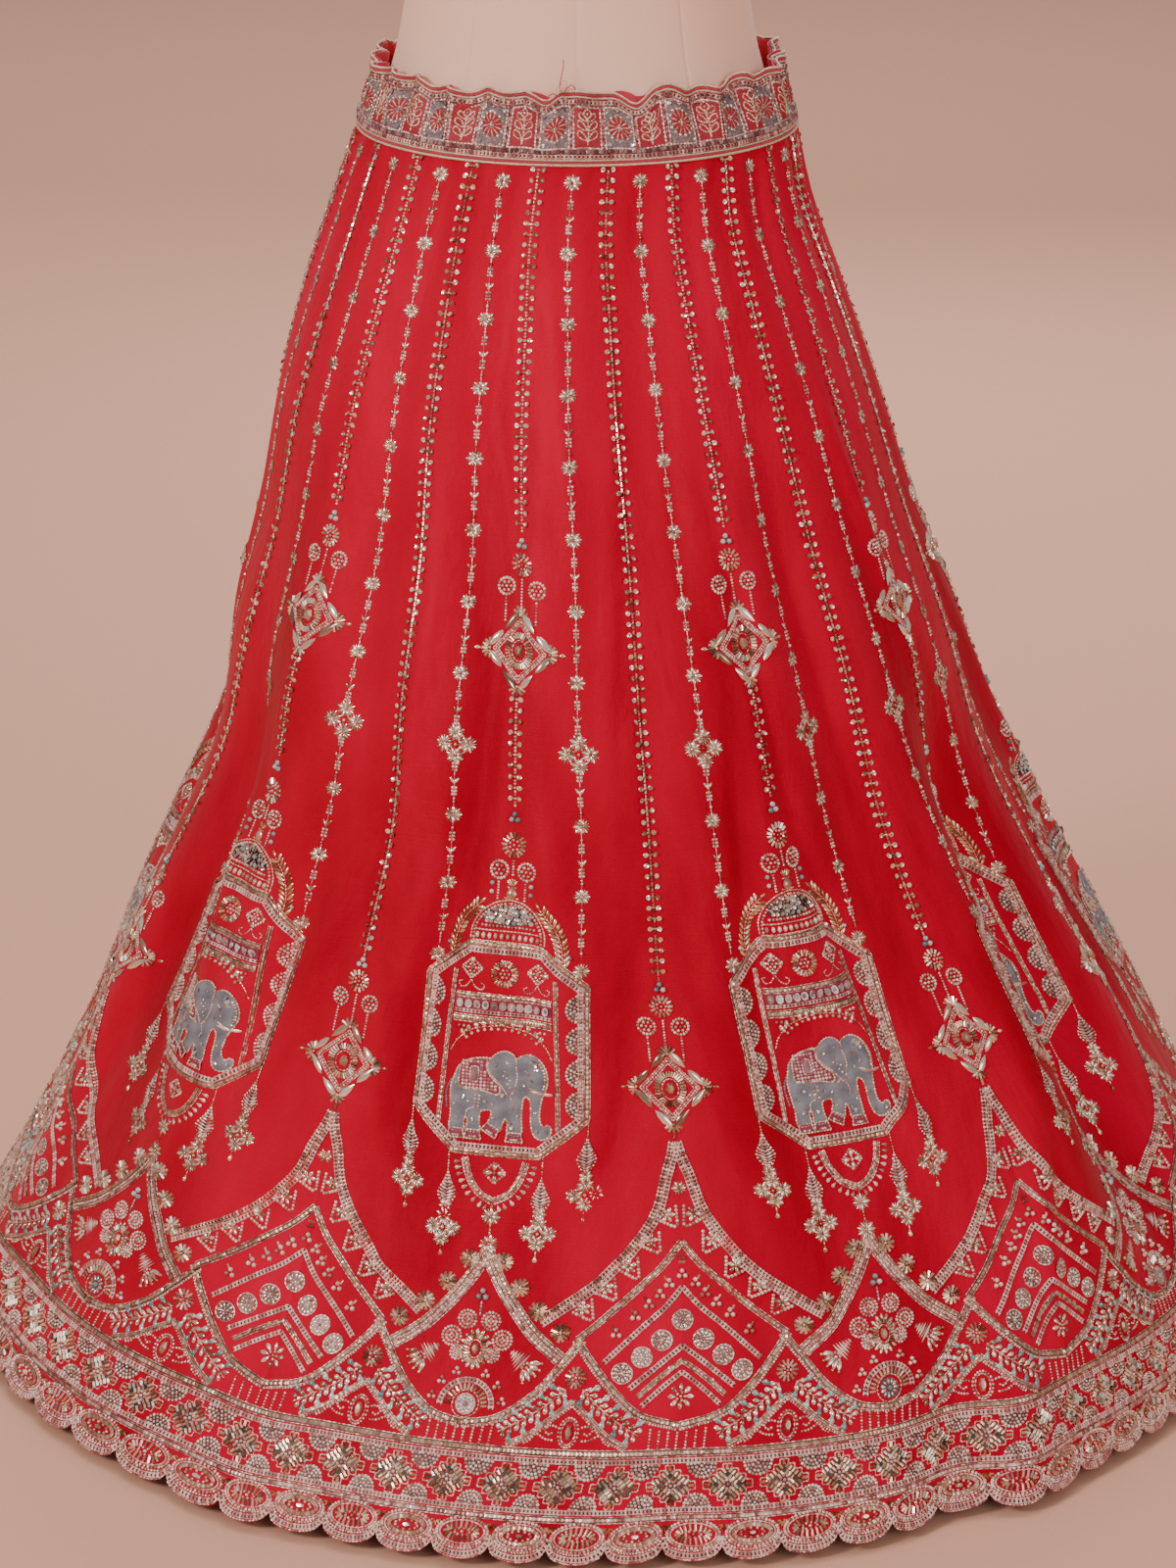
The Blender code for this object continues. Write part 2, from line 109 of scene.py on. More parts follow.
FOLDS = [Fold(*row) for row in (
    (-17, -0.0085, 5, 0, 0.46), (-3.5, 0.004, 5.5, 0, 0.6), (12.5, -0.007, 4.5, 0, 0.5),
    (22, 0.0045, 6, 0.05, 0.7), (36, -0.011, 5, 0.08, 0.72), (50, 0.016, 5.5, 0.4, 0.93),
    (60, -0.034, 5.5, 0.38, 0.96), (70, 0.01, 5, 0.45, 1.2), (-37, -0.008, 5, 0.05, 0.55),
    (-50, 0.008, 6, 0.2, 0.85), (-64, -0.016, 6, 0.25, 0.9), (-76, 0.011, 6, 0.45, 1.2),
    (29.5, -0.013, 4.5, 0.8, 1.25), (35, 0.012, 4, 0.8, 1.25), (4.5, -0.005, 4, 0.86, 1.25),
    (-31, 0.007, 5, 0.76, 1.25), (-90, -0.011, 6, 0.1, 0.75), (-103, 0.012, 6, 0.35, 1.2),
    (-117, -0.02, 6, 0.3, 1.2), (-131, 0.008, 5, 0.2, 0.8), (-146, -0.012, 5.5, 0.06, 0.66),
    (-158, 0.01, 6, 0.55, 1.2), (-171, -0.009, 5, 0, 0.58), (176, 0.007, 6, 0.5, 1.2),
    (163, -0.018, 6, 0.4, 1.2), (150, 0.009, 5.5, 0.2, 0.9), (137, -0.01, 5, 0.04, 0.62),
    (124, 0.01, 5.5, 0.55, 1.2), (110, -0.017, 6, 0.28, 1.2), (95, 0.008, 5.5, 0.3, 0.95),
    (83, -0.009, 5, 0.05, 0.6))]
# Softer creases, each a ridge (+) or trough (-): its middle as a turn and a drop,
# its lean from the vertical in degrees, its half length and half width and depth.
Crease = namedtuple("Crease", "turn drop lean reach half_width depth")
CREASES = [Crease(*row) for row in (
    (-22, 0.62, 8, 0.15, 0.014, -0.0089), (-6, 0.58, -5, 0.17, 0.016, 0.008),
    (1, 0.7, 10, 0.11, 0.013, -0.008), (14, 0.66, -8, 0.13, 0.015, 0.0089),
    (19, 0.52, 4, 0.12, 0.011, -0.0072), (31, 0.6, -12, 0.13, 0.014, -0.0096),
    (-28, 0.42, 6, 0.1, 0.01, 0.0063), (-12, 0.3, -4, 0.09, 0.008, -0.0053),
    (3, 0.33, 5, 0.11, 0.008, 0.0053), (25, 0.36, -6, 0.1, 0.009, -0.0062),
    (-44, 0.66, 14, 0.12, 0.016, -0.0096), (-57, 0.56, -8, 0.12, 0.015, 0.0089),
    (-70, 0.72, 10, 0.11, 0.016, -0.0083), (44, 0.8, 16, 0.08, 0.011, 0.0089),
    (55, 0.28, -6, 0.09, 0.009, 0.0063), (78, 0.66, 8, 0.12, 0.015, -0.0083),
    (90, 0.52, -8, 0.11, 0.014, 0.0077), (103, 0.62, 10, 0.12, 0.016, 0.0077),
    (119, 0.46, -7, 0.11, 0.012, -0.0062), (131, 0.7, 12, 0.1, 0.016, -0.0083),
    (145, 0.58, -9, 0.12, 0.015, 0.0077), (157, 0.34, 5, 0.1, 0.01, 0.0055),
    (170, 0.68, -11, 0.11, 0.016, 0.0083), (-178, 0.44, 7, 0.11, 0.011, -0.0062),
    (-164, 0.62, 9, 0.12, 0.015, -0.0083), (-151, 0.5, -6, 0.11, 0.012, 0.0069),
    (-138, 0.66, 10, 0.12, 0.016, -0.0077), (-124, 0.4, -5, 0.1, 0.011, -0.0055),
    (-110, 0.64, 11, 0.11, 0.015, 0.0083), (-96, 0.54, -8, 0.12, 0.014, -0.0077),
    (-84, 0.36, 6, 0.1, 0.01, 0.0055), (-19, 0.8, 62, 0.05, 0.01, 0.0043),
    (12, 0.82, -58, 0.05, 0.01, 0.0043), (-3, 0.76, 35, 0.06, 0.011, -0.0048),
    (34, 0.74, -40, 0.06, 0.011, 0.0048), (-38, 0.78, 48, 0.06, 0.011, 0.0048),
    (-9, 0.17, 3, 0.1, 0.007, -0.0054), (-2.5, 0.2, -3, 0.11, 0.007, 0.0045),
    (17, 0.24, 3, 0.12, 0.008, -0.0057), (8, 0.46, -6, 0.12, 0.01, -0.0051),
    (-17, 0.46, 7, 0.11, 0.011, -0.0054), (39, 0.44, -8, 0.11, 0.011, -0.006),
    (-33, 0.55, 10, 0.13, 0.013, -0.0072))]


def smooth_step(value):
    value = np.clip(value, 0, 1)
    return value * value * (3 - 2 * value)


def table_curve(rows, key, name, at):
    """A smooth curve through one named column of a table, read at any value."""
    keys = np.array([getattr(row, key) for row in rows])
    values = np.array([getattr(row, name) for row in rows])
    slopes = np.gradient(values, keys)
    at = np.clip(at, keys[0], keys[-1])
    index = np.clip(np.searchsorted(keys, at, side="right") - 1, 0, len(keys) - 2)
    span = keys[index + 1] - keys[index]
    part = (at - keys[index]) / span
    rise = smooth_step(part)
    ease_in = part * (1 - part) ** 2
    ease_out = part ** 2 * (part - 1)
    ends = values[index] * (1 - rise) + values[index + 1] * rise
    return ends + span * (ease_in * slopes[index] + ease_out * slopes[index + 1])


def turn_between(turn, middle):
    return (turn - middle + 180) % 360 - 180


def waist_height(turn):
    return HEM_CLEAR + SKIRT_HEIGHT + WAIST_RISE - WAIST_TILT * np.cos(np.radians(turn))


def cloth_push(turn, drop, radius):
    """How far the folds, gathers and creases push the silk outward."""
    push = np.zeros_like(turn)
    for fold in FOLDS:
        ramp = FOLD_FADE * (fold.bottom - fold.top)
        along = smooth_step((drop - fold.top) / ramp) * smooth_step((fold.bottom - drop) / ramp)
        across = np.exp(-(turn_between(turn, fold.turn) / fold.half_turn) ** 2)
        push = push + fold.depth * along * across
    for crease in CREASES:
        lean = math.radians(crease.lean)
        aside = np.radians(turn_between(turn, crease.turn)) * radius
        below = (drop - crease.drop) * SKIRT_HEIGHT
        across = aside * math.cos(lean) + below * math.sin(lean)
        along = below * math.cos(lean) - aside * math.sin(lean)
        shape = np.exp(-(across / crease.half_width) ** 2 - (along / crease.reach) ** 2)
        push = push + crease.depth * shape
    angle = np.radians(turn)
    phase = GATHERS * angle + GATHER_DRIFT * np.sin(GATHER_SWINGS * angle + GATHER_START)
    opened = GATHER_PINCH + (1 - GATHER_PINCH) * smooth_step(drop / GATHER_OPEN)
    return push + GATHER_DEPTH * opened * smooth_step(1 - drop / GATHER_FADE) * np.sin(phase)


def skirt_surface(turn, drop):
    """Points of the skirt's outer face."""
    turn, drop = np.broadcast_arrays(np.asarray(turn, float), np.asarray(drop, float))
    columns = {name: table_curve(SKIRT_SECTIONS, "drop", name, drop)
               for name in ("half_width", "half_depth", "shift_x", "shift_y")}
    push = cloth_push(turn, drop, 0.5 * (columns["half_width"] + columns["half_depth"]))
    angle = np.radians(turn)
    x = columns["shift_x"] + (columns["half_width"] + push) * np.sin(angle)
    y = columns["shift_y"] - (columns["half_depth"] + push) * np.cos(angle)
    z = drop * HEM_CLEAR + (1 - drop) * waist_height(turn)
    return np.stack([x, y, z], axis=-1)


# The flat cut of a kali: at each drop, how far down the slant it lies and how wide
# half a kali is there, both in millimetres.
CUT_STEPS = 201
cut_drops = np.linspace(0, 1, CUT_STEPS)
half_wide = table_curve(SKIRT_SECTIONS, "drop", "half_width", cut_drops)
half_deep = table_curve(SKIRT_SECTIONS, "drop", "half_depth", cut_drops)
mean_radius = np.sqrt((half_wide ** 2 + half_deep ** 2) / 2)
slant = np.hypot(np.diff(mean_radius), np.diff(cut_drops) * SKIRT_HEIGHT)
cut_down = np.concatenate([[0], np.cumsum(slant)]) / MM
rounding = np.sqrt((3 * half_wide + half_deep) * (half_wide + 3 * half_deep))
cut_half = math.pi * (3 * (half_wide + half_deep) - rounding) / (2 * KALIS) / MM
SLANT = cut_down[-1]


def half_at(down):
    """Half of a kali's width, in millimetres, at a distance down from the waist."""
    return np.interp(down, cut_down, cut_half)


def seam_turn(number, drop):
    """Turn of a seam at a drop; seams are numbered on, round and round."""
    waist, knee, hem = np.moveaxis(np.array(SEAMS)[number % KALIS], -1, 0)
    upper = waist + (knee - waist) * smooth_step(drop / KNEE_DROP)
    lower = (hem - knee) * smooth_step((drop - KNEE_DROP) / (1 - KNEE_DROP))
    return upper + lower + 360 * (number // KALIS)


def silk_face(place, across, down):
    """Points of the silk from its flat cut.

    A place is a count of kalis: 0 is the first seam, 0.5 the first kali's middle.
    across and down are millimetres from that place and from the waist seam.
    """
    drop = np.interp(down, cut_down, cut_drops)
    count = place + across / (2 * half_at(down))
    below = np.floor(count).astype(int)
    share = count - below
    drop = np.broadcast_to(drop, count.shape)
    turn = (1 - share) * seam_turn(below, drop) + share * seam_turn(below + 1, drop)
    return skirt_surface(turn, drop)


class Finish:
    """A material on the Principled shader, its textures read at Object or UV coordinates."""

    def __init__(self, name, source="Object"):
        self.material = bpy.data.materials.new(name)
        self.material.use_nodes = True
        tree = self.material.node_tree
        self.nodes, self.link, self.source = tree.nodes, tree.links.new, source
        self.sockets, self.top = tree.nodes["Principled BSDF"].inputs, None

    def texture(self, kind, scale, stretch=(1, 1, 1), output="Fac", **settings):
        coordinate = self.nodes.new("ShaderNodeTexCoord")
        mapping = self.nodes.new("ShaderNodeMapping")
        mapping.inputs["Scale"].default_value = stretch
        made = self.nodes.new("ShaderNodeTex" + kind)
        for name, value in {"Scale": scale, **settings}.items():
            made.inputs[name].default_value = value
        self.link(coordinate.outputs[self.source], mapping.inputs["Vector"])
        self.link(mapping.outputs["Vector"], made.inputs["Vector"])
        return made.outputs[output]

    def colour(self, value, *stops):
        """Colours by a value, from stops of (position, colour)."""
        ramp = self.nodes.new("ShaderNodeValToRGB")
        elements = ramp.color_ramp.elements
        while len(elements) < len(stops):
            elements.new(0.5)
        for element, (position, colour) in zip(elements, stops):
            element.position = position
            element.color = (*colour, 1)
        self.link(value, ramp.inputs["Fac"])
        self.link(ramp.outputs["Color"], self.sockets["Base Color"])

    def relief(self, value, strength, distance):
        """Fine relief on top of any that is there already."""
        made = self.nodes.new("ShaderNodeBump")
        made.inputs["Strength"].default_value = strength
        made.inputs["Distance"].default_value = distance
        self.link(value, made.inputs["Height"])
        if self.top is not None:
            self.link(self.top, made.inputs["Normal"])
        self.top = made.outputs["Normal"]
        self.link(self.top, self.sockets["Normal"])

    def set(self, **values):
        """The shader's own sockets, an underscore in a name for each space."""
        for name, value in values.items():
            self.sockets[name.replace("_", " ")].default_value = value


# Satin silk: fine threads along the flat cut, slubs across it and a soft crushed grain.
# Its colour carries long streaks of painted shade along the cut, darker bands for the shading of folds.
silk = Finish("red_satin_silk", "UV")
silk.colour(silk.texture("Noise", 9, (1, 0.35, 1), Detail=5), (0.3, (0.33, 0.0003, 0.011)),
            (0.5, (0.5, 0.0004, 0.023)), (0.72, (0.64, 0.0006, 0.038)))
slub = silk.texture("Noise", 60, (0.35, 14, 1), Detail=3)
crush = silk.texture("Noise", 26, (1, 0.45, 1), Detail=4)
weave = silk.texture("Wave", 900)
weave.node.bands_direction = 'DIAGONAL'
silk.relief(crush, 0.7, 0.0085)
silk.relief(slub, 0.35, 0.0007)
silk.relief(weave, 0.12, 0.0001)
gloss = silk.nodes.new("ShaderNodeMapRange")
gloss.inputs["To Min"].default_value = 0.4
gloss.inputs["To Max"].default_value = 0.58
silk.link(crush, gloss.inputs["Value"])
silk.link(gloss.outputs["Result"], silk.sockets["Roughness"])
silk.set(Specular_IOR_Level=0.24, Specular_Tint=(1, 0.1, 0.18, 1), Sheen_Weight=0.06, Sheen_Roughness=0.4,
         Sheen_Tint=(1, 0.1, 0.16, 1))

PANEL_COLUMNS = 6 * SCALLOPS
PANEL_ROWS = 57
HEM_ROWS = 0.965            # share of the slant below which rows follow the scallops
SEAM_DIP = 0.0005           # the seam pulls the silk in
SEAM_REACH = 0.0017
SILK_WALL = 0.0012
SHARP_EDGE = math.radians(50)


def scallop_notch(share):
    """Rise of the hem at a share of the way across one scallop."""
    return SCALLOP_RISE * (1 - np.sqrt(np.clip(1 - (2 * share - 1) ** 2, 0, 1)))


def grid_mesh(name, points, coordinates=None, closed=False):
    """A sheet from rows of points, with a UV map from rows of flat coordinates."""
    rows, columns = points.shape[:2]
    wide = columns if closed else columns - 1
    row, column = np.meshgrid(np.arange(rows - 1), np.arange(wide), indexing="ij")
    following = (column + 1) % columns
    corners = np.stack([row * columns + column, (row + 1) * columns + column,
                        (row + 1) * columns + following, row * columns + following], axis=-1)
    mesh = bpy.data.meshes.new(name)
    mesh.from_pydata(points.reshape(-1, 3).tolist(), [], corners.reshape(-1, 4).tolist())
    if coordinates is not None:
        layer = mesh.uv_layers.new(name="cut")
        flat = coordinates.reshape(-1, 2)[corners.reshape(-1)]
        layer.data.foreach_set("uv", flat.astype(np.float32).ravel())
    mesh.shade_smooth()
    return mesh


def add_piece(name, mesh, *materials):
    piece = bpy.data.objects.new(name, mesh)
    bpy.context.scene.collection.objects.link(piece)
    for made in materials:
        mesh.materials.append(made.material)
    return piece


def select_only(piece):
    """Makes a piece the one that operators work on."""
    bpy.ops.object.select_all(action='DESELECT')
    bpy.context.view_layer.objects.active = piece
    piece.select_set(True)


def thicken(piece, wall):
    """Gives a sheet its wall, inward from the face that shows."""
    solid = piece.modifiers.new("wall", 'SOLIDIFY')
    solid.thickness = wall
    solid.offset = -1
    select_only(piece)
    bpy.ops.object.modifier_apply(modifier="wall")
    piece.data.set_sharp_from_angle(angle=SHARP_EDGE)


ladder_steps = np.linspace(0, 1, PANEL_COLUMNS + 1)
edge_steps = np.array([0.006, 0.014])
shares = np.sort(np.concatenate([ladder_steps, edge_steps, 1 - edge_steps]))
for number in range(1, KALIS + 1):
    level = np.linspace(0, 1, PANEL_ROWS + 1)
    rise = smooth_step((level - HEM_ROWS) / (1 - HEM_ROWS))
    rows, marks = [], []
    for step, lift in zip(level, rise):
        drop = np.interp(step * SLANT, cut_down, cut_drops)
        drops = drop - lift * scallop_notch((shares * SCALLOPS) % 1) / SKIRT_HEIGHT
        start, end = seam_turn(number - 1, drops), seam_turn(number, drops)
        turns = start + shares * (end - start)
        face = skirt_surface(turns, drops)
        wide = np.radians(end - start) * np.interp(drops, cut_drops, mean_radius)
        from_seam = np.minimum(shares, 1 - shares) * wide
        dip = SEAM_DIP * np.exp(-(from_seam / SEAM_REACH) ** 2)
        inward = np.stack([-np.sin(np.radians(turns)), np.cos(np.radians(turns)),
                           np.zeros_like(turns)], axis=-1)
        rows.append(face + dip[:, None] * inward)
        down = np.interp(drops, cut_drops, cut_down)
        marks.append(np.stack([(2 * shares - 1) * half_at(down), -down], axis=-1) * MM)
    name = f"kali_silk_{number:02d}"
    piece = add_piece(name, grid_mesh(name, np.array(rows), np.array(marks)), silk)
    thicken(piece, SILK_WALL)
    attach(piece, "root")
    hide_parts(f"kali_{number:02d}")

# ---- the sequin ladders
# Down each kali's middle and over each seam runs a ladder of hand couched work:
# rungs of two round sequins on a short tube bead, with seed beads between them.
# Over the seams bright tube beads take the seed beads' place, as a spine.
WORK_LIFT = 0.28            # millimetres by which sewn work clears the silk's facets
LEAST_LIFT = 0.05           # and by which a tipped sequin's low side still clears it
LEAST_STRETCH, MOST_STRETCH = 0.85, 1.3     # a stitch follows the cloth's stretch between these


def domed(outline, rings, apex):
    """A small stitch: rings of its outline, as (scale, height), closed by a point."""
    outline = np.asarray(outline, float)
    count = len(outline)
    corners = [np.column_stack([outline * scale, np.full(count, height)]) for scale, height in rings]
    corners = np.vstack(corners + [np.array([[0, 0, apex]])])
    faces = []
    for ring in range(len(rings) - 1):
        for i in range(count):
            a, b = ring * count + i, ring * count + (i + 1) % count
            faces += [(a, b, b + count), (a, b + count, a + count)]
    last = (len(rings) - 1) * count
    faces += [(last + i, last + (i + 1) % count, len(corners) - 1) for i in range(count)]
    return corners, np.array(faces)


def ridged(height):
    """A small stitch with a ridge along it and sloped ends, like a cut tube bead."""
    corners = [(0.5, -0.5, 0), (0.5, 0.5, 0), (-0.5, 0.5, 0), (-0.5, -0.5, 0), (0, -0.42, height),
               (0, 0.42, height)]
    return np.array(corners), np.array([(0, 1, 5), (0, 5, 4), (1, 2, 5), (2, 3, 4), (2, 4, 5), (3, 0, 4)])


def round_outline(sides):
    angles = np.arange(sides) * 2 * math.pi / sides
    return np.column_stack([0.5 * np.cos(angles), 0.5 * np.sin(angles)])


def joined_shapes(*parts):
    """Several small stitches as one: each (shape, across, along, wide, long)."""
    corners, faces, count = [], [], 0
    for (points, triangles), across, along, wide, long in parts:
        corners.append(points * (wide, long, 1) + (across, along, 0))
        faces.append(triangles + count)
        count += len(points)
    return np.vstack(corners), np.vstack(faces)


DIAMOND = [(0.5, 0), (0, 0.5), (-0.5, 0), (0, -0.5)]
SQUARE = [(0.5, -0.5), (0.5, 0.5), (-0.5, 0.5), (-0.5, -0.5)]
PETAL = [(0, -0.5), (0.36, -0.22), (0.5, 0.08), (0.3, 0.36), (0, 0.5), (-0.3, 0.36), (-0.5, 0.08),
         (-0.36, -0.22)]
DROP = [(0, -0.5), (0.28, -0.12), (0.5, 0.2), (0.3, 0.44), (0, 0.5), (-0.3, 0.44), (-0.5, 0.2),
        (-0.28, -0.12)]
LOZENGE = [(0.5, 0), (0, 0.66), (-0.5, 0), (0, -0.66)]
thread = domed(DIAMOND, [(1, 0)], 0.55)
# flat_bed: a dark sheet just under the stitches; laid in the umber tone it is painted shade
flat_bed = np.column_stack([SQUARE, np.full(4, -0.01)]), np.array([(0, 1, 2), (0, 2, 3)])
# name: (shape, smooth, how much each one tips out of the cloth's plane)
SHAPES = {
    "seed": (domed(round_outline(5), [(1, 0)], 0.62), True, 0),
    "pearl": (domed(round_outline(5), [(1, 0), (0.76, 0.42)], 0.64), True, 0),
    "tube": (ridged(0.62), False, 0.06),
    "plate": (domed(SQUARE, [(1, 0.12)], 0.26), False, 0.05),
    "bed": (flat_bed, False, 0),
    "sequin": (domed(round_outline(8), [(1, 0.22)], 0.06), False, 0.3),
    "coin": (domed(round_outline(12), [(1, -0.01)], -0.01), False, 0),
    "stone": (domed(round_outline(6), [(1, 0), (0.62, 0.36)], 0.38), False, 0.06),
    "leaf": (domed(PETAL, [(1, 0)], 0.42), True, 0.06),
    "drop": (domed(DROP, [(1, 0)], 0.5), True, 0.06),
    "thread": (thread, True, 0),
    "stitch": (domed(LOZENGE, [(1, 0)], 0.55), True, 0),
    "link": (joined_shapes((thread, -0.33, 0, 0.4, 1.5), (thread, 0.33, 0, 0.4, 1.5),
                           (thread, 0, 0, 0.84, 0.66)), True, 0),
}
# The finishes of the beads, metal and threads: three tones, roughness, metallic, the
# grain's fineness, and how much of the play of tones is grain, not bead to bead.
# The tone plays at random from bead to bead: partly real colour, partly painted glints
# at the light end and painted shade at the dark end.
Tone = namedtuple("Tone", "dark middle light roughness metallic grain speckle", defaults=(1100, 0.25))
TONES = {
    "gold": Tone((0.24, 0.1, 0.05), (0.66, 0.38, 0.21), (0.97, 0.77, 0.52), 0.22, 0.85),
    "rose": Tone((0.3, 0.09, 0.08), (0.7, 0.33, 0.27), (0.94, 0.62, 0.52), 0.32, 0.7),
    "silver": Tone((0.3, 0.16, 0.11), (0.82, 0.61, 0.46), (1, 0.94, 0.8), 0.17, 0.85),
    "bead": Tone((0.36, 0.16, 0.12), (0.76, 0.5, 0.4), (0.96, 0.82, 0.7), 0.28, 0.45),
    "pink": Tone((0.48, 0.16, 0.14), (0.8, 0.42, 0.36), (0.94, 0.64, 0.56), 0.45, 0.25),
    "cream": Tone((0.44, 0.24, 0.14), (0.75, 0.53, 0.36), (0.94, 0.78, 0.58), 0.45, 0.3),
    "aqua": Tone((0.11, 0.21, 0.21), (0.28, 0.43, 0.4), (0.6, 0.73, 0.67), 0.2, 0.3),
    "copper": Tone((0.2, 0.08, 0.05), (0.55, 0.3, 0.2), (0.9, 0.64, 0.5), 0.3, 0.85, 800, 0.62),
    "mirror": Tone((0.34, 0.29, 0.25), (0.66, 0.6, 0.54), (0.97, 0.95, 0.9), 0.14, 0.9, 900, 0.5),
    "plum": Tone((0.14, 0.05, 0.06), (0.28, 0.12, 0.13), (0.46, 0.27, 0.26), 0.4, 0.4),
    "wine": Tone((0.15, 0.006, 0.03), (0.27, 0.012, 0.058), (0.42, 0.04, 0.1), 0.55, 0, 420, 0.8),
    # umber: painted shade, a near-black ground laid under and between stitches where shade falls
    "umber": Tone((0.03, 0.006, 0.008), (0.07, 0.016, 0.018), (0.16, 0.05, 0.05), 0.5, 0.1),
}
made_tones = {}


def tone_material(name):
    """The material of one kind of bead or thread, made when first needed."""
    if name not in made_tones:
        tone = TONES[name]
        made = made_tones[name] = Finish(f"{name}_work")
        tint = made.nodes.new("ShaderNodeAttribute")
        tint.attribute_name = "tint"
        fine = made.texture("Noise", tone.grain)
        play = made.nodes.new("ShaderNodeMix")
        play.inputs["Factor"].default_value = tone.speckle
        made.link(tint.outputs["Fac"], play.inputs["A"])
        made.link(fine, play.inputs["B"])
        made.colour(play.outputs["Result"], (0.16, tone.dark), (0.5, tone.middle), (0.88, tone.light))
        made.relief(fine, 0.35, 0.0001)
        made.set(Roughness=tone.roughness, Metallic=tone.metallic)
    return made_tones[name]


def steps_along(points, pitch):
    """Even steps along a line of (across, down) points: their places and angles."""
    points = np.asarray(points, float)
    lengths = np.hypot(*np.diff(points, axis=0).T)
    total = np.concatenate([[0], np.cumsum(lengths)])
    count = max(1, int(round(total[-1] / pitch)))
    middles = (np.arange(count) + 0.5) * total[-1] / count
    across = np.interp(middles, total, points[:, 0])
    down = np.interp(middles, total, points[:, 1])
    reach = 0.25 * total[-1] / count
    ahead, behind = middles + reach, middles - reach
    run = np.interp(ahead, total, points[:, 0]) - np.interp(behind, total, points[:, 0])
    fall = np.interp(ahead, total, points[:, 1]) - np.interp(behind, total, points[:, 1])
    return across, down, np.degrees(np.arctan2(fall, run)), total[-1] / count


def smooth_line(*points, steps=8):
    """A smooth line through a few points."""
    points = np.asarray(points, float)
    padded = np.vstack([2 * points[0] - points[1], points, 2 * points[-1] - points[-2]])
    t = np.arange(steps)[:, None] / steps
    parts = []
    for a, b, c, d in zip(padded, padded[1:], padded[2:], padded[3:]):
        parts.append(0.5 * (2 * b + (c - a) * t + (2 * a - 5 * b + 4 * c - d) * t ** 2
                            + (3 * b - a - 3 * c + d) * t ** 3))
    return np.vstack(parts + [points[-1:]])


class Work:
    """Sewn work laid out flat in millimetres: across from its middle, down from the waist.

    What goes on its pair is sewn twice, the second time as its mirror image.
    """

    def __init__(self, whole=None):
        self.mirrored = whole is not None
        self.marks = whole.marks if self.mirrored else {}
        self.pair = self if self.mirrored else Work(self)

    def put(self, shape, tone, across, down, long, wide=None, angle=90):
        """Stitches at these places, each this long and wide and turned to an angle."""
        values = (across, down, angle, long, long if wide is None else wide)
        values = np.broadcast_arrays(*(np.asarray(value, float) for value in values))
        rows = np.stack([np.ravel(value) for value in values], axis=1)
        if self.mirrored:
            other = rows * (-1, 1, -1, 1, 1) + (0, 0, 180, 0, 0)
            rows = np.vstack([rows, other])
        self.marks.setdefault((shape, tone), []).append(rows)

    def line(self, shape, tone, points, pitch, wide, long=None, aside=0, turned=0):
        """Stitches in a row along a line, each turned by an angle from it."""
        across, down, angle, step = steps_along(points, pitch)
        lean = np.radians(angle)
        across, down = across - aside * np.sin(lean), down + aside * np.cos(lean)
        self.put(shape, tone, across, down, step if long is None else long, wide, angle + turned)

    def ring(self, shape, tone, across, down, reach, count, long, wide=None, arc=(0, 360), tangent=False):
        """Stitches round a circle or an oval, pointing out from its middle or along it."""
        reach_x, reach_s = reach if hasattr(reach, "__len__") else (reach, reach)
        whole = arc[1] - arc[0] >= 360
        turns = np.radians(np.linspace(*arc, count, endpoint=not whole))
        x, s = across + reach_x * np.cos(turns), down + reach_s * np.sin(turns)
        angle = np.degrees(np.arctan2(reach_x * np.sin(turns), reach_s * np.cos(turns)))
        self.put(shape, tone, x, s, long, wide, angle + (90 if tangent else 0))

    def take(self, other, across, down):
        """Copies other work, moved."""
        for key, parts in other.marks.items():
            rows = np.vstack(parts) + (across, down, 0, 0, 0)
            self.marks.setdefault(key, []).append(rows)


def tangent_frames(face, place, across, down):
    """Points of a face, its directions across and down, 1 long where unstretched, and its normal."""
    right = (face(place, across + 0.5, down) - face(place, across - 0.5, down)) / MM
    fall = (face(place, across, down + 0.5) - face(place, across, down - 0.5)) / MM
    away = -np.cross(right, fall)
    away /= np.linalg.norm(away, axis=-1, keepdims=True)
    return face(place, across, down), right, fall, away


def join(name, heap):
    """One piece from copies of small shapes: (their corners, faces, tone, smooth, tints)."""
    tones = sorted({part[2] for part in heap})
    triangles, numbers, smooth, count = [], [], [], 0
    for corners, faces, tone, soft, _ in heap:
        shifts = count + np.arange(len(corners))[:, None, None] * corners.shape[1]
        triangles.append((faces[None] + shifts).reshape(-1, 3))
        numbers.append(np.full(len(triangles[-1]), tones.index(tone)))
        smooth.append(np.full(len(triangles[-1]), soft))
        count += corners.shape[0] * corners.shape[1]
    triangles = np.vstack(triangles)
    mesh = bpy.data.meshes.new(name)
    mesh.vertices.add(count)
    points = np.concatenate([part[0].ravel() for part in heap])
    mesh.vertices.foreach_set("co", points.astype(np.float32))
    mesh.loops.add(triangles.size)
    mesh.loops.foreach_set("vertex_index", triangles.astype(np.int32).ravel())
    mesh.polygons.add(len(triangles))
    mesh.polygons.foreach_set("loop_start", np.arange(len(triangles), dtype=np.int32) * 3)
    mesh.polygons.foreach_set("material_index", np.concatenate(numbers).astype(np.int32))
    mesh.polygons.foreach_set("use_smooth", np.concatenate(smooth))
    tints = np.concatenate([part[4] for part in heap]).astype(np.float32)
    mesh.attributes.new("tint", 'FLOAT', 'POINT').data.foreach_set("value", tints)
    mesh.update(calc_edges=True)
    piece = add_piece(name, mesh, *(tone_material(tone) for tone in tones))
    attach(piece, "root")


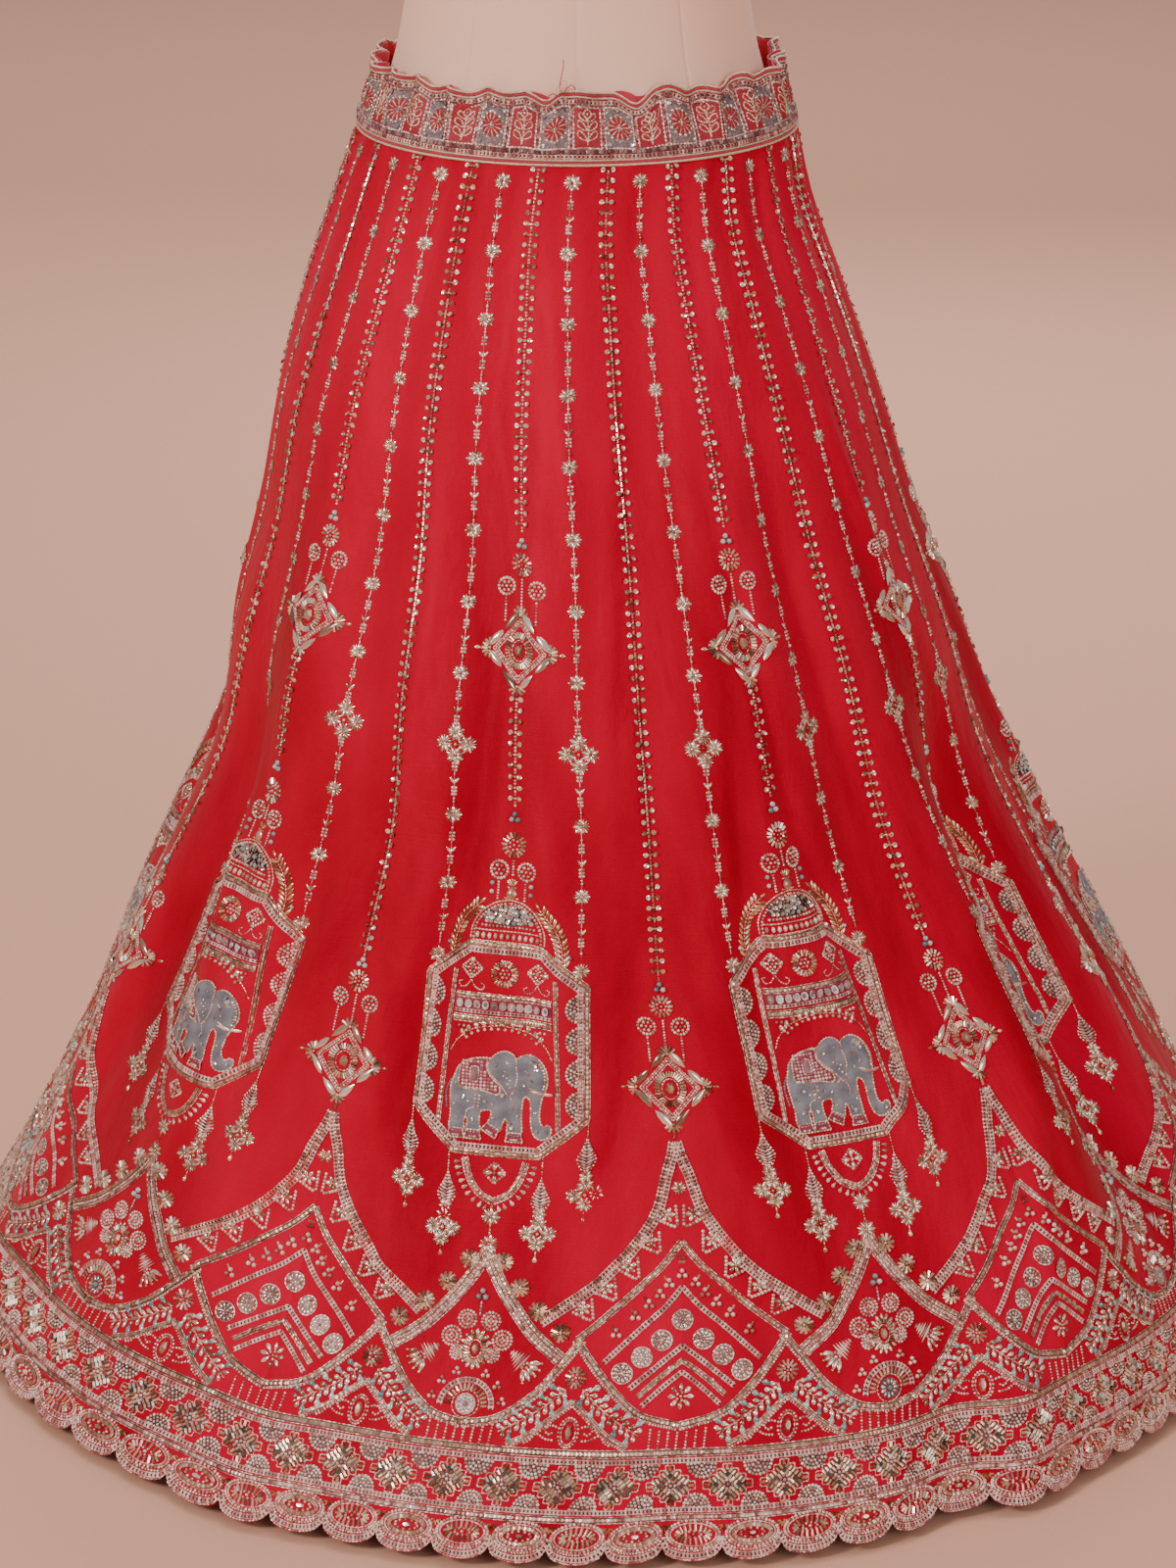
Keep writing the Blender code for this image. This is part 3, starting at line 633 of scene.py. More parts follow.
def sew(name, work, places, face=silk_face):
    """Sews flat work onto a face at each place, as one piece."""
    chance = np.random.default_rng(len(name))
    places = np.asarray(places, float)[:, None]
    heap = []
    for (shape, tone), rows in work.marks.items():
        (corners, faces), soft, tip = SHAPES[shape]
        across, down, angle, long, wide = np.vstack(rows).T
        at, right, fall, away = tangent_frames(face, places, across, down)
        lean = np.radians(angle)[:, None]
        along = np.cos(lean) * right + np.sin(lean) * fall
        stretch = np.linalg.norm(along, axis=-1, keepdims=True)
        along = along / stretch
        aside = np.cross(along, away)
        tips = chance.normal(0, tip, at.shape[:2] + (2,)) if tip else np.zeros(at.shape[:2] + (2,))
        x = (corners[:, 0] * wide[:, None])[None]
        y = corners[:, 1] * (long * np.clip(stretch[..., 0], LEAST_STRETCH, MOST_STRETCH))[..., None]
        z = (corners[:, 2] * np.minimum(long, wide)[:, None])[None]
        z = np.maximum(z + WORK_LIFT + tips[..., :1] * x + tips[..., 1:] * y, LEAST_LIFT)
        made = at[:, :, None] + MM * (x[..., None] * aside[:, :, None] + y[..., None] * along[:, :, None]
                                      + z[..., None] * away[:, :, None])
        made = made.reshape(-1, len(corners), 3)
        heap.append((made, faces, tone, soft, np.repeat(chance.random(len(made)), len(corners))))
    join(name, heap)


MIDDLES = np.arange(KALIS) + 0.5
SEAM_PLACES = np.arange(KALIS)
RUNG = 7.7


def ladder(name, places, stretches, spine):
    """Rungs from top to bottom of each stretch; with a spine, bright tubes join them."""
    work = Work()
    for top, bottom in stretches:
        rungs = np.arange(top, bottom, RUNG)
        work.pair.put("sequin", "silver", -3.5, rungs, 3.6)
        work.pair.put("seed", "gold", -3.5, rungs, 1.7)
        work.put("tube", "gold", 0, rungs, 5, 1.5, 0)
        if spine:
            for share in (0.25, 0.75):
                work.put("tube", "silver", 0, rungs + share * RUNG, 3, 1.5)
        else:
            for share in (0.36, 0.64):
                work.put("seed", "bead", 0, rungs + share * RUNG, 2.1)
            work.put("seed", "silver", 0, rungs, 2)
    sew(name, work, places)


ladder("ladders_middle", MIDDLES, ((3, 264), (380, 457)), spine=False)
ladder("ladders_seam", SEAM_PLACES, ((3, 578),), spine=True)

# ---- the flower strands
# Between the ladders hang four thin strands to a pair of kalis: star flowers of
# eight petal beads, and between them pearls, seed beads two by two and two crossed
# leaves, all on a rose metal thread.
STRAND_PITCH = 50.5
STRAND_TOP = 12
CLUSTER_STEP = 8            # the flower that is a cluster of four
LAST_FLOWER = 571


def star_flower(work, across, down, reach=6, petals=8, turn=0):
    """Petal beads and short threads by turns, round a seed bead."""
    arc = (turn, turn + 360)
    work.ring("leaf", "silver", across, down, 0.58 * reach, petals, 0.88 * reach, 2.1, arc)
    work.ring("thread", "copper", across, down, 0.55 * reach, petals, 0.9 * reach, 0.8,
              (turn + 180 / petals, turn + 180 / petals + 360))
    work.put("seed", "gold", across, down, 0.36 * reach)


def four_flowers(work, across, down, gap=8.3, reach=6.4):
    """Four star flowers in a diamond."""
    for x, s in ((0, -gap), (gap, 0), (0, gap), (-gap, 0)):
        star_flower(work, across + x, down + s, reach, turn=20)
    work.put("pearl", "gold", across, down, 3)


work = Work()
pair = work.pair
flowers = [STRAND_TOP + STRAND_PITCH * step for step in range(11)] + [LAST_FLOWER]
for step, down in enumerate(flowers):
    if step == CLUSTER_STEP:
        four_flowers(work, 0, down)
    else:
        star_flower(work, 0, down)
    if step < len(flowers) - 1:
        work.put("pearl", "silver", 0, down + np.array([9.6, 41]), 2.7)
        for bead in (13.4, 15.8, 18.2, 30.8, 33.2, 35.6):
            pair.put("seed", "bead", 1.25, down + bead, 2.2)
        pair.put("leaf", "silver", 1.6, down + 25.6, 5, 2, 128)
        work.put("seed", "gold", 0, down + 28, 2)
        work.put("seed", "gold", 0, down + 38.6, 1.8)
        work.line("stitch", "rose", ((0, down + 5), (0, down + 46)), 4.5, 0.8)
QUARTERS = np.concatenate([MIDDLES - 0.25, MIDDLES + 0.25])
sew("flower_strands", work, QUARTERS)

# ---- rosettes and bead diamonds
# Where a ladder ends hang a trefoil of aqua beads, a rosette of tube beads and two
# buttons of round beads. Two ends in three have an open diamond of metal leaves
# below, with an oval heart of many rays.


def rosette(work, across, down, reach, rays=14):
    """Tube rays round a heart of pink beads."""
    work.ring("tube", "silver", across, down, 0.76 * reach, rays, 0.46 * reach, 1.9)
    work.ring("seed", "pink", across, down, 0.38 * reach, 7, 2)
    work.put("pearl", "gold", across, down, 2.4)


def bead_button(work, across, down, reach):
    """A round of beads inside a round of beads."""
    count = int(2 * math.pi * 0.85 * reach / 2.2)
    work.ring("seed", "bead", across, down, 0.85 * reach, count, 2.5)
    work.ring("pearl", "bead", across, down, 0.46 * reach, 6, 2.5)
    work.put("pearl", "silver", across, down, 2.6)


def trefoil(work, across, down, size=4.3, tone="aqua"):
    """Three round beads, one above two."""
    work.put("pearl", tone, across, down - 0.62 * size, size)
    work.put("pearl", tone, across - 0.54 * size, down + 0.3 * size, size)
    work.put("pearl", tone, across + 0.54 * size, down + 0.3 * size, size)


def oval_rosette(work, across, down, reach_x, reach_s):
    """Rays round an oval cord with a stone inside."""
    count = int(math.pi * (reach_x + reach_s) / 2.3)
    work.ring("tube", "silver", across, down, (0.82 * reach_x, 0.84 * reach_s), count, 0.34 * reach_s, 1.7)
    work.ring("stitch", "rose", across, down, (0.52 * reach_x, 0.56 * reach_s), 14, 2.6, 1.3, tangent=True)
    work.put("stone", "copper", across, down, 0.8 * reach_s, 0.7 * reach_x)


def ray(angle, reach=1):
    """How far across and down a point is, at an angle and a reach."""
    return reach * math.cos(math.radians(angle)), reach * math.sin(math.radians(angle))


def bead_diamond(work, down, wide, tall):
    """An open diamond of metal leaves, its inner edge beaded, its corners rayed."""
    for top in (-1, 1):
        tip = down + top * tall
        lean = math.degrees(math.atan2(top * tall, -wide))
        for share in (0.25, 0.75):
            across, low = 1.13 * (1 - share) * wide, down + 1.13 * share * top * tall
            work.pair.put("leaf", "silver", across, low, 17, 5.6, lean)
        for share, shape, tone, pitch, size in ((0.92, "stitch", "pink", 2.6, 1.3),
                                                (0.84, "seed", "bead", 2.1, 1.9),
                                                (0.74, "stitch", "pink", 2.6, 1.2)):
            edge = (share * wide, down), (0, down + share * top * tall)
            work.pair.line(shape, tone, edge, pitch, size)
        work.ring("tube", "silver", 0, tip, 4.4, 5, 5.4, 2.1, (90 * top - 62, 90 * top + 62))
        work.put("pearl", "gold", 0, tip + 0.5 * top, 3)
    for spread in (-80, -52, -26, 0, 26, 52, 80):
        x, s = ray(spread)
        work.pair.put("tube", "silver", wide + 4.6 * x, down + 5.2 * s, 5, 2.1, spread)
    work.pair.put("leaf", "gold", wide + 9.6, down, 4.6, 2.4, 0)
    work.pair.put("pearl", "gold", wide + 0.8, down, 2.8)
    oval_rosette(work, 0, down, 0.49 * wide, 0.52 * tall)


def bead_stem(work, across, top, bottom):
    """Seed beads threaded straight down."""
    work.line("seed", "bead", ((across, top), (across, bottom)), 2.15, 1.9, 1.9)


work = Work()
pair = work.pair
trefoil(work, 0, 271.5)
rosette(work, 0, 286, 8.6)
bead_button(pair, 12.2, 302, 6.9)
bead_stem(pair, 12.2, 309.5, 327)
bead_stem(work, 0, 295.5, 317)
bead_diamond(work, 346.5, 22.5, 24.5)
trefoil(work, 0, 463)
rosette(work, 0, 482.5, 9.6, 16)
bead_button(pair, 10.2, 501, 7.4)
pair.put("pearl", "aqua", 14.6, np.array([511, 517.3]), 3.8)
bead_stem(pair, 10, 509, 523)
bead_stem(work, 0, 493, 505)
sew("rosettes_middle", work, MIDDLES)
work = Work()
pair = work.pair
trefoil(work, 0, 585)
rosette(work, 0, 598.5, 8.4)
bead_button(pair, 11.8, 613.7, 6.9)
bead_stem(pair, 11.8, 621, 640)
bead_stem(work, 0, 608, 629)
bead_diamond(work, 659.4, 22.5, 25.5)
work.put("tube", "silver", 0, 693, 6, 2.2)
sew("rosettes_seam", work, SEAM_PLACES)

# ---- the domed frames
# Each kali carries one large appliqué frame: a beaded dome with a finial and two
# leaf sprays over an eight-sided frame of metal strip and chain stitch, with posts,
# flowers over a frieze of aqua stones, and half rosettes down either side.
FRAME_OUTLINE = ((0, 556.5), (27.4, 556.5), (58.5, 583.3), (61.7, 680.5), (30.3, 710), (0, 710))


def span(half, down):
    """A level line, as far to either side of the middle."""
    return (-half, down), (half, down)


def strip(work, points, wide, tone="copper", pitch=3.6, aside=0):
    """Crinkled metal strip couched down between two threads."""
    # a dark sheet of painted shade under the plates darkens the gaps between them
    work.line("bed", "umber", points, 6, wide, aside=aside)
    work.line("plate", tone, points, pitch, wide * 0.64, aside=aside)
    work.line("stitch", "rose", points, 3.8, 1.1, aside=aside + 0.54 * wide)
    work.line("stitch", "rose", points, 3.8, 1.1, aside=aside - 0.54 * wide)


def chain(work, points, wide, tone="pink", aside=0):
    """A row of chain stitch, two ridges with bars between, over a strip of painted shade that darkens the
    gaps between its links.
    """
    work.line("bed", "umber", points, 6, 0.72 * wide, aside=aside)
    work.line("link", tone, points, 2.8, wide, aside=aside)


def half_rosette(work, across, down, reach, facing):
    """Half a rosette on a line, opening towards an angle: massed beads over a patch of painted shade that
    darkens the gaps between them.
    """
    for share, count, size, tone in ((0.92, 12, 2.6, "bead"), (0.68, 9, 2.4, "bead"),
                                     (0.44, 6, 2.4, "pink"), (0.18, 3, 2.2, "silver")):
        work.ring("seed", tone, across, down, share * reach, count, size, arc=(facing - 86, facing + 86))
    work.ring("bed", "umber", across, down, 0.48 * reach, 4, 0.84 * reach, 0.62 * reach,
              arc=(facing - 62, facing + 62))


work = Work()
pair = work.pair
for a, b in zip(FRAME_OUTLINE, FRAME_OUTLINE[1:]):
    strip(pair, (a, b), 3.6)
    chain(pair, (a, b), 4.6, aside=4.3)
for across, down in FRAME_OUTLINE[1:-1]:
    pair.put("sequin", "silver", across, down, 4)
# the dome: an arc of thread over one of beads, sequins massed inside, four rows below
dome = smooth_line((27.5, 553), (26.5, 543), (20.5, 532.5), (11, 525.2), (0, 522.4))
pair.line("stitch", "cream", dome, 2.4, 1.5)
pair.line("pearl", "pink", dome, 2.9, 2.3, 2.3, aside=-2.5)
chance = np.random.default_rng(11)
for down, half, count in ((527.6, 7, 5), (530.4, 12, 9), (533.2, 15.5, 11), (536, 17.5, 12),
                          (538.8, 16.5, 11)):
    x = np.linspace(-half, half, count) + chance.normal(0, 0.5, count)
    work.put("sequin", "mirror", x, down + chance.normal(0, 0.5, count), 3.3,
             angle=chance.uniform(0, 180, count))
# a dark sheet of painted shade under the massed sequins darkens the gaps between them
work.put("bed", "umber", np.linspace(-15, 15, 5), 534.4, (9, 12.5, 14.5, 12.5, 9), 7.6)
work.line("pearl", "bead", span(20.5, 542.2), 2.7, 2.4, 2.4)
work.line("stitch", "cream", span(25, 545.6), 2.6, 1.3)
work.line("pearl", "bead", span(24.5, 549.7), 4.4, 3.3, 5.2, turned=90)
work.line("stitch", "cream", span(26.5, 553.6), 2.6, 1.1)
# the finial on top
work.put("leaf", "copper", 0, 517.5, 10, 8)
work.line("stitch", "gold", span(5.5, 521.3), 2, 1.6)
work.line("stitch", "gold", span(3.2, 513.4), 1.6, 1.4)
work.ring("leaf", "gold", 0, 513, 3.6, 5, 5.2, 1.8, arc=(230, 310))
# two leaf sprays lean outward over the frame's shoulders
spray = smooth_line((41, 567), (39.5, 553), (33.5, 539), (22, 526.5))
pair.line("stitch", "copper", spray, 2.6, 1.3)
for lean, aside in ((-42, -2.4), (42, 2.4)):
    pair.line("leaf", "gold", spray, 3.9, 2.6, 6.8, aside=1.15 * aside, turned=lean)
pair.put("leaf", "gold", 20.5, 524.6, 6, 2.4, 228)
pair.put("pearl", "aqua", 45.5, 560.5, 3)
# posts, frieze and arch inside the frame
strip(pair, ((36.8, 577.5), (42.6, 690)), 2.6)
work.ring("tube", "silver", 0, 577, 7.6, 12, 4.8, 2.3)
work.ring("leaf", "gold", 0, 577, 8.6, 12, 4, 1.6, arc=(15, 375))
work.ring("pearl", "pink", 0, 577, 3, 6, 2.3)
work.put("pearl", "gold", 0, 577, 2.6)
for angle in range(0, 360, 90):
    x, s = ray(angle, 5.3)
    pair.put("leaf", "silver", 24 + x, 574.5 + s, 5, 3, angle)
square = np.array([(0, -7.6), (7.6, 0), (0, 7.6), (-7.6, 0), (0, -7.6)]) + (24, 574.5)
pair.line("seed", "bead", square, 2.2, 2.1, 2.1)
pair.ring("seed", "silver", 24, 574.5, 2.8, 6, 2.1)
pair.put("stone", "copper", 24, 574.5, 3.4, angle=45)
for scroll in (smooth_line((24, 583), (21, 588), (16.5, 590), (14.2, 587), (16.8, 585)),
               smooth_line((24, 583), (27.5, 588), (31.5, 589), (33, 585.8), (30.6, 584.6))):
    pair.line("stitch", "rose", scroll, 1.8, 1.3)
strip(work, span(34.7, 594.5), 3.6)
work.line("bed", "wine", span(35, 600.9), 7, 9.6)
work.put("sequin", "pink", np.linspace(-31, 31, 11), 600.8, 6.8, 5.6)
work.put("stone", "aqua", np.linspace(-31, 31, 11), 600.8, 4.9, 3.9)
chain(work, span(35.2, 606.3), 2.8)
strip(work, span(35.8, 611.8), 4.6, pitch=2.1)
arch = smooth_line((36.5, 637), (31, 627.5), (20, 619), (0, 614.8))
pair.line("stitch", "gold", arch, 2.6, 1.2)
fringe = smooth_line((27, 627.5), (19.5, 621.6), (10, 618.6), (0, 617.8))
pair.line("pearl", "bead", fringe, 4.6, 2.7, 2.7)
pair.line("drop", "silver", fringe, 4.6, 3.8, 5.4, aside=3.9, turned=90)
for rung in range(3):
    pair.put("pearl", "bead", 24 + 3.4 * np.arange(3 - rung) + 1.5 * rung, 617.6 + 3.3 * rung, 2.5)
for down in (598, 621.5, 645.5, 669):
    half_rosette(pair, 54.6 + 0.033 * (down - 583), down, 10.6, 180)
sew("domed_frames", work, MIDDLES)

# ---- the elephants
# In each frame walks an elephant of grey cloth, padded, cut out and sewn down with a
# pale cord, under a wine saddle cloth set with beads. It has a pale tusk, beaded
# anklets and girth, and loose sequins over its hide.
ELEPHANT_TOP = 633.5
BODY = smooth_line(
    (-32.5, 22), (-29.5, 14.5), (-22.5, 8.8), (-12, 6.4), (-6.6, 6.4), (-2.6, 2.8), (3, 0.4), (8.4, 2.2),
    (11.2, 5.6), (14.4, 3.4), (20.4, 1.6), (27, 4.4), (32, 11), (33.8, 19), (32.6, 27), (30.2, 34),
    (29, 44), (29.8, 51), (32.6, 54.2), (35, 52.6), (37.6, 54.4), (37, 60), (32, 63.8), (26.2, 61.4),
    (23.4, 53), (22.8, 42), (21.8, 35.4), (18.6, 33), (16.8, 37), (16.6, 48), (16.6, 61), (7.8, 61),
    (6.8, 53.4), (5.2, 50.2), (3.4, 54.6), (1.2, 59.6), (-6.4, 55), (-5, 49.6), (-5.2, 45.2), (-9, 45),
    (-12.4, 46.6), (-13, 53), (-12.6, 61), (-21.4, 61), (-21.4, 54.4), (-22.6, 51), (-24, 54.6),
    (-24.2, 61), (-33.8, 61), (-33.8, 50), (-34.6, 38), (-34.6, 29), (-32.5, 22), steps=4)
EAR = smooth_line(
    (11.6, 6.4), (8.4, 2), (3, 0.2), (-3, 2.6), (-7.4, 7.8), (-8.6, 13), (-5, 19.4), (1.4, 26), (7.2, 33.6),
    (10.8, 27.4), (12.4, 19), (11.4, 11.6), (11.6, 6.4), steps=4)
SADDLE = smooth_line(
    (-27.2, 11.2), (-18.6, 7.6), (-9.6, 6.9), (-9.4, 13.6), (-5.6, 20.6), (0.2, 26.8), (-0.8, 33),
    (-12, 30.6), (-27.6, 29.4), (-28.6, 19), (-27.2, 11.2), steps=4)
SADDLE_HEART = smooth_line(
    (-20.8, 14.2), (-18, 13.3), (-15.4, 14), (-14.9, 19), (-15.4, 24), (-18, 24.8), (-20.8, 24),
    (-21.2, 19), (-20.8, 14.2), steps=2)
CUFF = np.array([
    (-4.8, -3.2), (0, -3.3), (4.8, -3.2), (5.3, 0), (5.8, 3.3), (0, 3.5), (-5.8, 3.3), (-5.3, 0),
    (-4.8, -3.2)])
# where each anklet is: across, down, and how far its leg leans, in degrees
ANKLES = ((-28.9, 63.4, 0), (-17, 63.4, 0), (-4.4, 59.2, 31), (12.2, 63.4, 0))
TONES["hide"] = Tone((0.105, 0.1, 0.12), (0.19, 0.184, 0.216), (0.32, 0.31, 0.33), 0.55, 0.1, 420, 0.4)
PATCH_STEP = 3
RIM_CLEAR = 0.42            # share of a step that a cut-out's inner points keep from its rim
HIDE = 1                    # millimetres that the padded hide stands off the silk


def patch_points(outline, rise, edge):
    """A flat cut-out with a padded top: places, heights and triangles."""
    outline = np.asarray(outline, float)[:-1]
    low, high = outline.min(axis=0), outline.max(axis=0)
    xs = np.arange(low[0] + 0.5 * PATCH_STEP, high[0], PATCH_STEP)
    ss = np.arange(low[1] + 0.5 * PATCH_STEP, high[1], PATCH_STEP)
    grid = np.array([(x, s) for x in xs for s in ss])
    following = np.roll(outline, -1, axis=0)
    side = following - outline
    inside = np.zeros(len(grid), bool)
    nearest = np.full(len(grid), 1e9)
    for start, end, run in zip(outline, following, side):
        crosses = (start[1] > grid[:, 1]) != (end[1] > grid[:, 1])
        at = start[0] + (grid[:, 1] - start[1]) * run[0] / (run[1] if run[1] else 1e-9)
        inside ^= crosses & (grid[:, 0] < at)
        part = np.clip(((grid - start) @ run) / (run @ run), 0, 1)
        nearest = np.minimum(nearest, np.linalg.norm(grid - start - part[:, None] * run, axis=1))
    keep = inside & (nearest > RIM_CLEAR * PATCH_STEP)
    places = np.vstack([outline, grid[keep]])
    heights = np.concatenate([np.zeros(len(outline)), rise * smooth_step(nearest[keep] / edge)])
    corners = [Vector(place) for place in places]
    rim = [(i, (i + 1) % len(outline)) for i in range(len(outline))]
    found = geometry.delaunay_2d_cdt(corners, rim, [list(range(len(outline)))], 1, 1e-5)
    new_places = np.array([tuple(corner) for corner in found[0]])
    sources = [source[0] if source else 0 for source in found[3]]
    return new_places, heights[sources], np.array([face for face in found[2] if len(face) == 3])


def cut_outs(name, patches, places, face=silk_face):
    """Padded cut-outs sewn down at each place: patches of (outline, tone, lift, rise, edge)."""
    heap, at = [], np.asarray(places, float)[:, None]
    for outline, tone, lift, rise, edge in patches:
        flat, heights, faces = patch_points(outline, rise, edge)
        across, down = flat.T
        ground, _, _, away = tangent_frames(face, at, across, down)
        made = ground + MM * (lift + heights)[None, :, None] * away
        a, b, c = (flat[faces[:, i]] for i in range(3))
        area = (b[:, 0] - a[:, 0]) * (c[:, 1] - a[:, 1]) - (b[:, 1] - a[:, 1]) * (c[:, 0] - a[:, 0])
        faces = np.where(area[:, None] > 0, faces[:, ::-1], faces)
        # soft clouds of tone, different on every place
        cloudy = np.sin(0.29 * across + 0.17 * down + at) * np.cos(0.23 * down - 0.13 * across + 2 * at)
        heap.append((made, faces, tone, True, (0.5 + 0.36 * cloudy).ravel()))
    join(name, heap)


def turned_cuff(across, down, lean):
    """An anklet's outline, leaned with its leg."""
    c, s = ray(lean)
    return CUFF @ np.array([(c, s), (-s, c)]) + (across, down)


patches = [(BODY, "hide", 0.25, 0.8, 5), (EAR, "hide", 1, 0.6, 4), (SADDLE, "wine", 1, 0.35, 3),
           (SADDLE_HEART, "plum", 1.3, 0.3, 3)]
patches += [(turned_cuff(*ankle), "wine", 0.6, 0.4, 3) for ankle in ANKLES]
cut_outs("elephants", [(outline + (0, ELEPHANT_TOP), *rest) for outline, *rest in patches], MIDDLES)


def elephant_face(place, across, down):
    """The silk's face, with down counted from the elephant's top."""
    return silk_face(place, across, ELEPHANT_TOP + down)


def hide_face(place, across, down):
    """The same, raised to the padded hide."""
    at, _, _, away = tangent_frames(elephant_face, place, across, down)
    return at + HIDE * MM * away


work = Work()
work.line("stitch", "cream", BODY, 2.4, 1.7)
work.line("stitch", "hide", smooth_line((-34, 24), (-37.6, 33), (-36.8, 46)), 2.2, 1.5)
work.put("leaf", "bead", 33.4, 29.8, 9.6, 2.4, -4)
sew("elephant_edges", work, MIDDLES, elephant_face)
work = Work()
work.line("stitch", "pink", EAR, 2.2, 1.4)
work.line("stitch", "cream", SADDLE, 2.2, 1.7)
work.line("stitch", "bead", SADDLE_HEART, 2.2, 1.6)
for ankle in ANKLES:
    cuff = turned_cuff(*ankle)
    work.line("stitch", "cream", cuff, 2.4, 1.5)
    work.line("pearl", "bead", ((cuff[7] + cuff[5]) / 2, (cuff[3] + cuff[5]) / 2), 2, 2.2, 2.4)
for row in range(9):
    down = 9.8 + 2.45 * row
    right = np.interp(down, (6, 13.5, 20.5, 26.8, 31), (-11.2, -11.4, -7.6, -2.4, -2.6))
    across = np.arange(-26, right, 2.6)
    across = across[(np.abs(across + 18) > 4.4) | (abs(down - 19) > 7)]
    work.put("seed", "bead" if row % 3 else "pink", across, down, 2.5, 2.5)
for side in (-1.4, 1.4):
    work.line("seed", "bead", ((-15 + side, 33.4), (-15.6 + side, 44)), 2.6, 2.2, 2.2)
work.line("stitch", "pink", smooth_line((8.2, 34), (10.2, 39), (9.4, 44)), 2.4, 1.1)
work.line("stitch", "cream", smooth_line((-22.6, 51), (-21.6, 46), (-17, 43.6)), 2.4, 1.1)
work.put("leaf", "bead", 26.6, 29.2, 10.5, 2.8, 7)
work.put("leaf", "cream", 23.4, 27.2, 6.5, 2, 24)
work.put("tube", "silver", 18.8, 14.6, 3.6, 1.5, 34)
work.put("seed", "plum", 20.4, 16.6, 2)
brow = smooth_line((27.2, 7), (31.2, 13), (32.2, 20), (31, 27))
work.line("seed", "silver", brow, 2.5, 2.3, 2.3)
for across, down in ((3.4, 15.4), (5.6, 17.2), (2.4, 18.8), (5, 20.2), (7.4, 21.6), (5.8, 24.4),
                     (7.6, 26.8)):
    work.put("seed", "silver", across, down, 2.1)
HIDE_SEQUINS = np.array([
    (-3.6, 10.4, 3.8), (22.4, 6.6, 3.8), (24.8, 8.8, 3.6), (25.6, 12, 3), (2.6, 33, 3.4), (8, 53.6, 3.6),
    (10.4, 56, 3.4), (9.6, 42, 2.4), (-25, 36.6, 2.6), (-9.6, 38.6, 2.8), (-30.6, 42, 2.4),
    (-28.6, 52, 2.6), (-17.6, 52.6, 2.4), (-3, 50, 2.4), (13.6, 47.4, 2.2), (26, 44, 2.2),
    (27.6, 57.6, 2.6), (34.4, 57.2, 2.4), (-30.6, 26.6, 2.4), (-4.4, 40.2, 2.2), (17.2, 24.4, 2.2),
    (22.6, 21, 2.2), (-21, 39.4, 2.2), (5.2, 8.4, 2.4)])
work.put("sequin", "mirror", HIDE_SEQUINS[:, 0], HIDE_SEQUINS[:, 1], HIDE_SEQUINS[:, 2])
sew("elephant_trims", work, MIDDLES, hide_face)

# ---- pendants and tassels
# Under each frame hangs a bead-fringed pendant with a square flower, a flower on a
# stem that meets the arch below, and four tassels: a drop of coiled cord over a
# cluster of four star flowers.


def tassel(work, across, top, drop_at, cluster):
    """A thread, a drop of coiled cord, a small flower, four more and a last drop."""
    work.line("stitch", "gold", ((across, top), (across, drop_at - 12)), 2.2, 1.3)
    # dark sheets of painted shade under the coiled cord darken the gaps between its turns
    work.put("bed", "umber", across, drop_at + np.array([-6.4, -1.2, 4.2, 8.6]), (5.4, 5.4, 5.4, 3.8),
             (3.2, 6.4, 9, 5.6))
    for row in range(11):
        share = row / 10
        # the drop swells to two thirds of the way down, then closes
        half = 0.9 + 5 * ((share / 0.66) ** 1.15 if share < 0.66 else (1 - share) / 0.34 * 0.8 + 0.2)
        for side in (-1, 1):
            work.put("stitch", "pink" if row % 2 else "bead", across + 0.48 * side * half,
                     drop_at - 11.6 + 23 * share, 1.02 * half, 2, -24 * side)
    for side in (-1, 1):
        edge = smooth_line((across, drop_at - 12.5), (across + 2.8 * side, drop_at - 4.5),
                           (across + 6.2 * side, drop_at + 3.6), (across + 2.6 * side, drop_at + 11.5))
        work.line("seed", "silver", edge, 2.6, 1.9, 1.9)
    four_flowers(work, across, cluster, 7.2, 6)
    star_flower(work, across, cluster - 14.4, 4.8, 7)
    work.line("stitch", "gold", ((across, cluster + 12.5), (across, cluster + 15.5)), 3, 1.2)
    work.put("drop", "gold", across, cluster + 18, 5.4, 3.6)


work = Work()
pair = work.pair
tassel(pair, 63, 681, 706, 736.5)
tassel(pair, 33, 711, 738.5, 766)
pendant = smooth_line((21, 714.5), (17.5, 727), (10.5, 738), (0, 744))
strip(pair, pendant, 2.8)
pair.line("stitch", "bead", pendant, 2.2, 1.4, aside=-2.8)
pair.line("drop", "bead", pendant, 4.2, 3, 5, aside=-6.6, turned=-90)
work.ring("leaf", "silver", 0, 724, 4.2, 4, 5.2, 3.2)
square = np.array([(0, 716.2), (7.8, 724), (0, 731.8)])
pair.line("seed", "bead", square, 2.2, 2.1, 2.1)
work.put("stone", "copper", 0, 724, 3.6)
star_flower(work, 0, 755.5, 6.5)
work.line("stitch", "gold", ((0, 746), (0, 749)), 1.5, 1.6)
work.line("stitch", "gold", ((0, 761.5), (0, 769)), 2.2, 1.6)
star_flower(work, 0, 775.7, 7, 9)
sew("pendants_and_tassels", work, MIDDLES)

# ---- the small pointed arches
# Below each frame stands a pointed arch of strip and beads with tube flowers down
# its shoulders. In it are an aqua bud, beaded petals, two trumpet flowers and a half
# sun with a round mirror; a deep curve of strip and beads closes it below.
SMALL_ARCH = smooth_line((0, 781), (8, 797), (20, 815), (38, 836), (60, 853))
COLUMNS_LOW = 913.8         # where the short bead columns over the border end


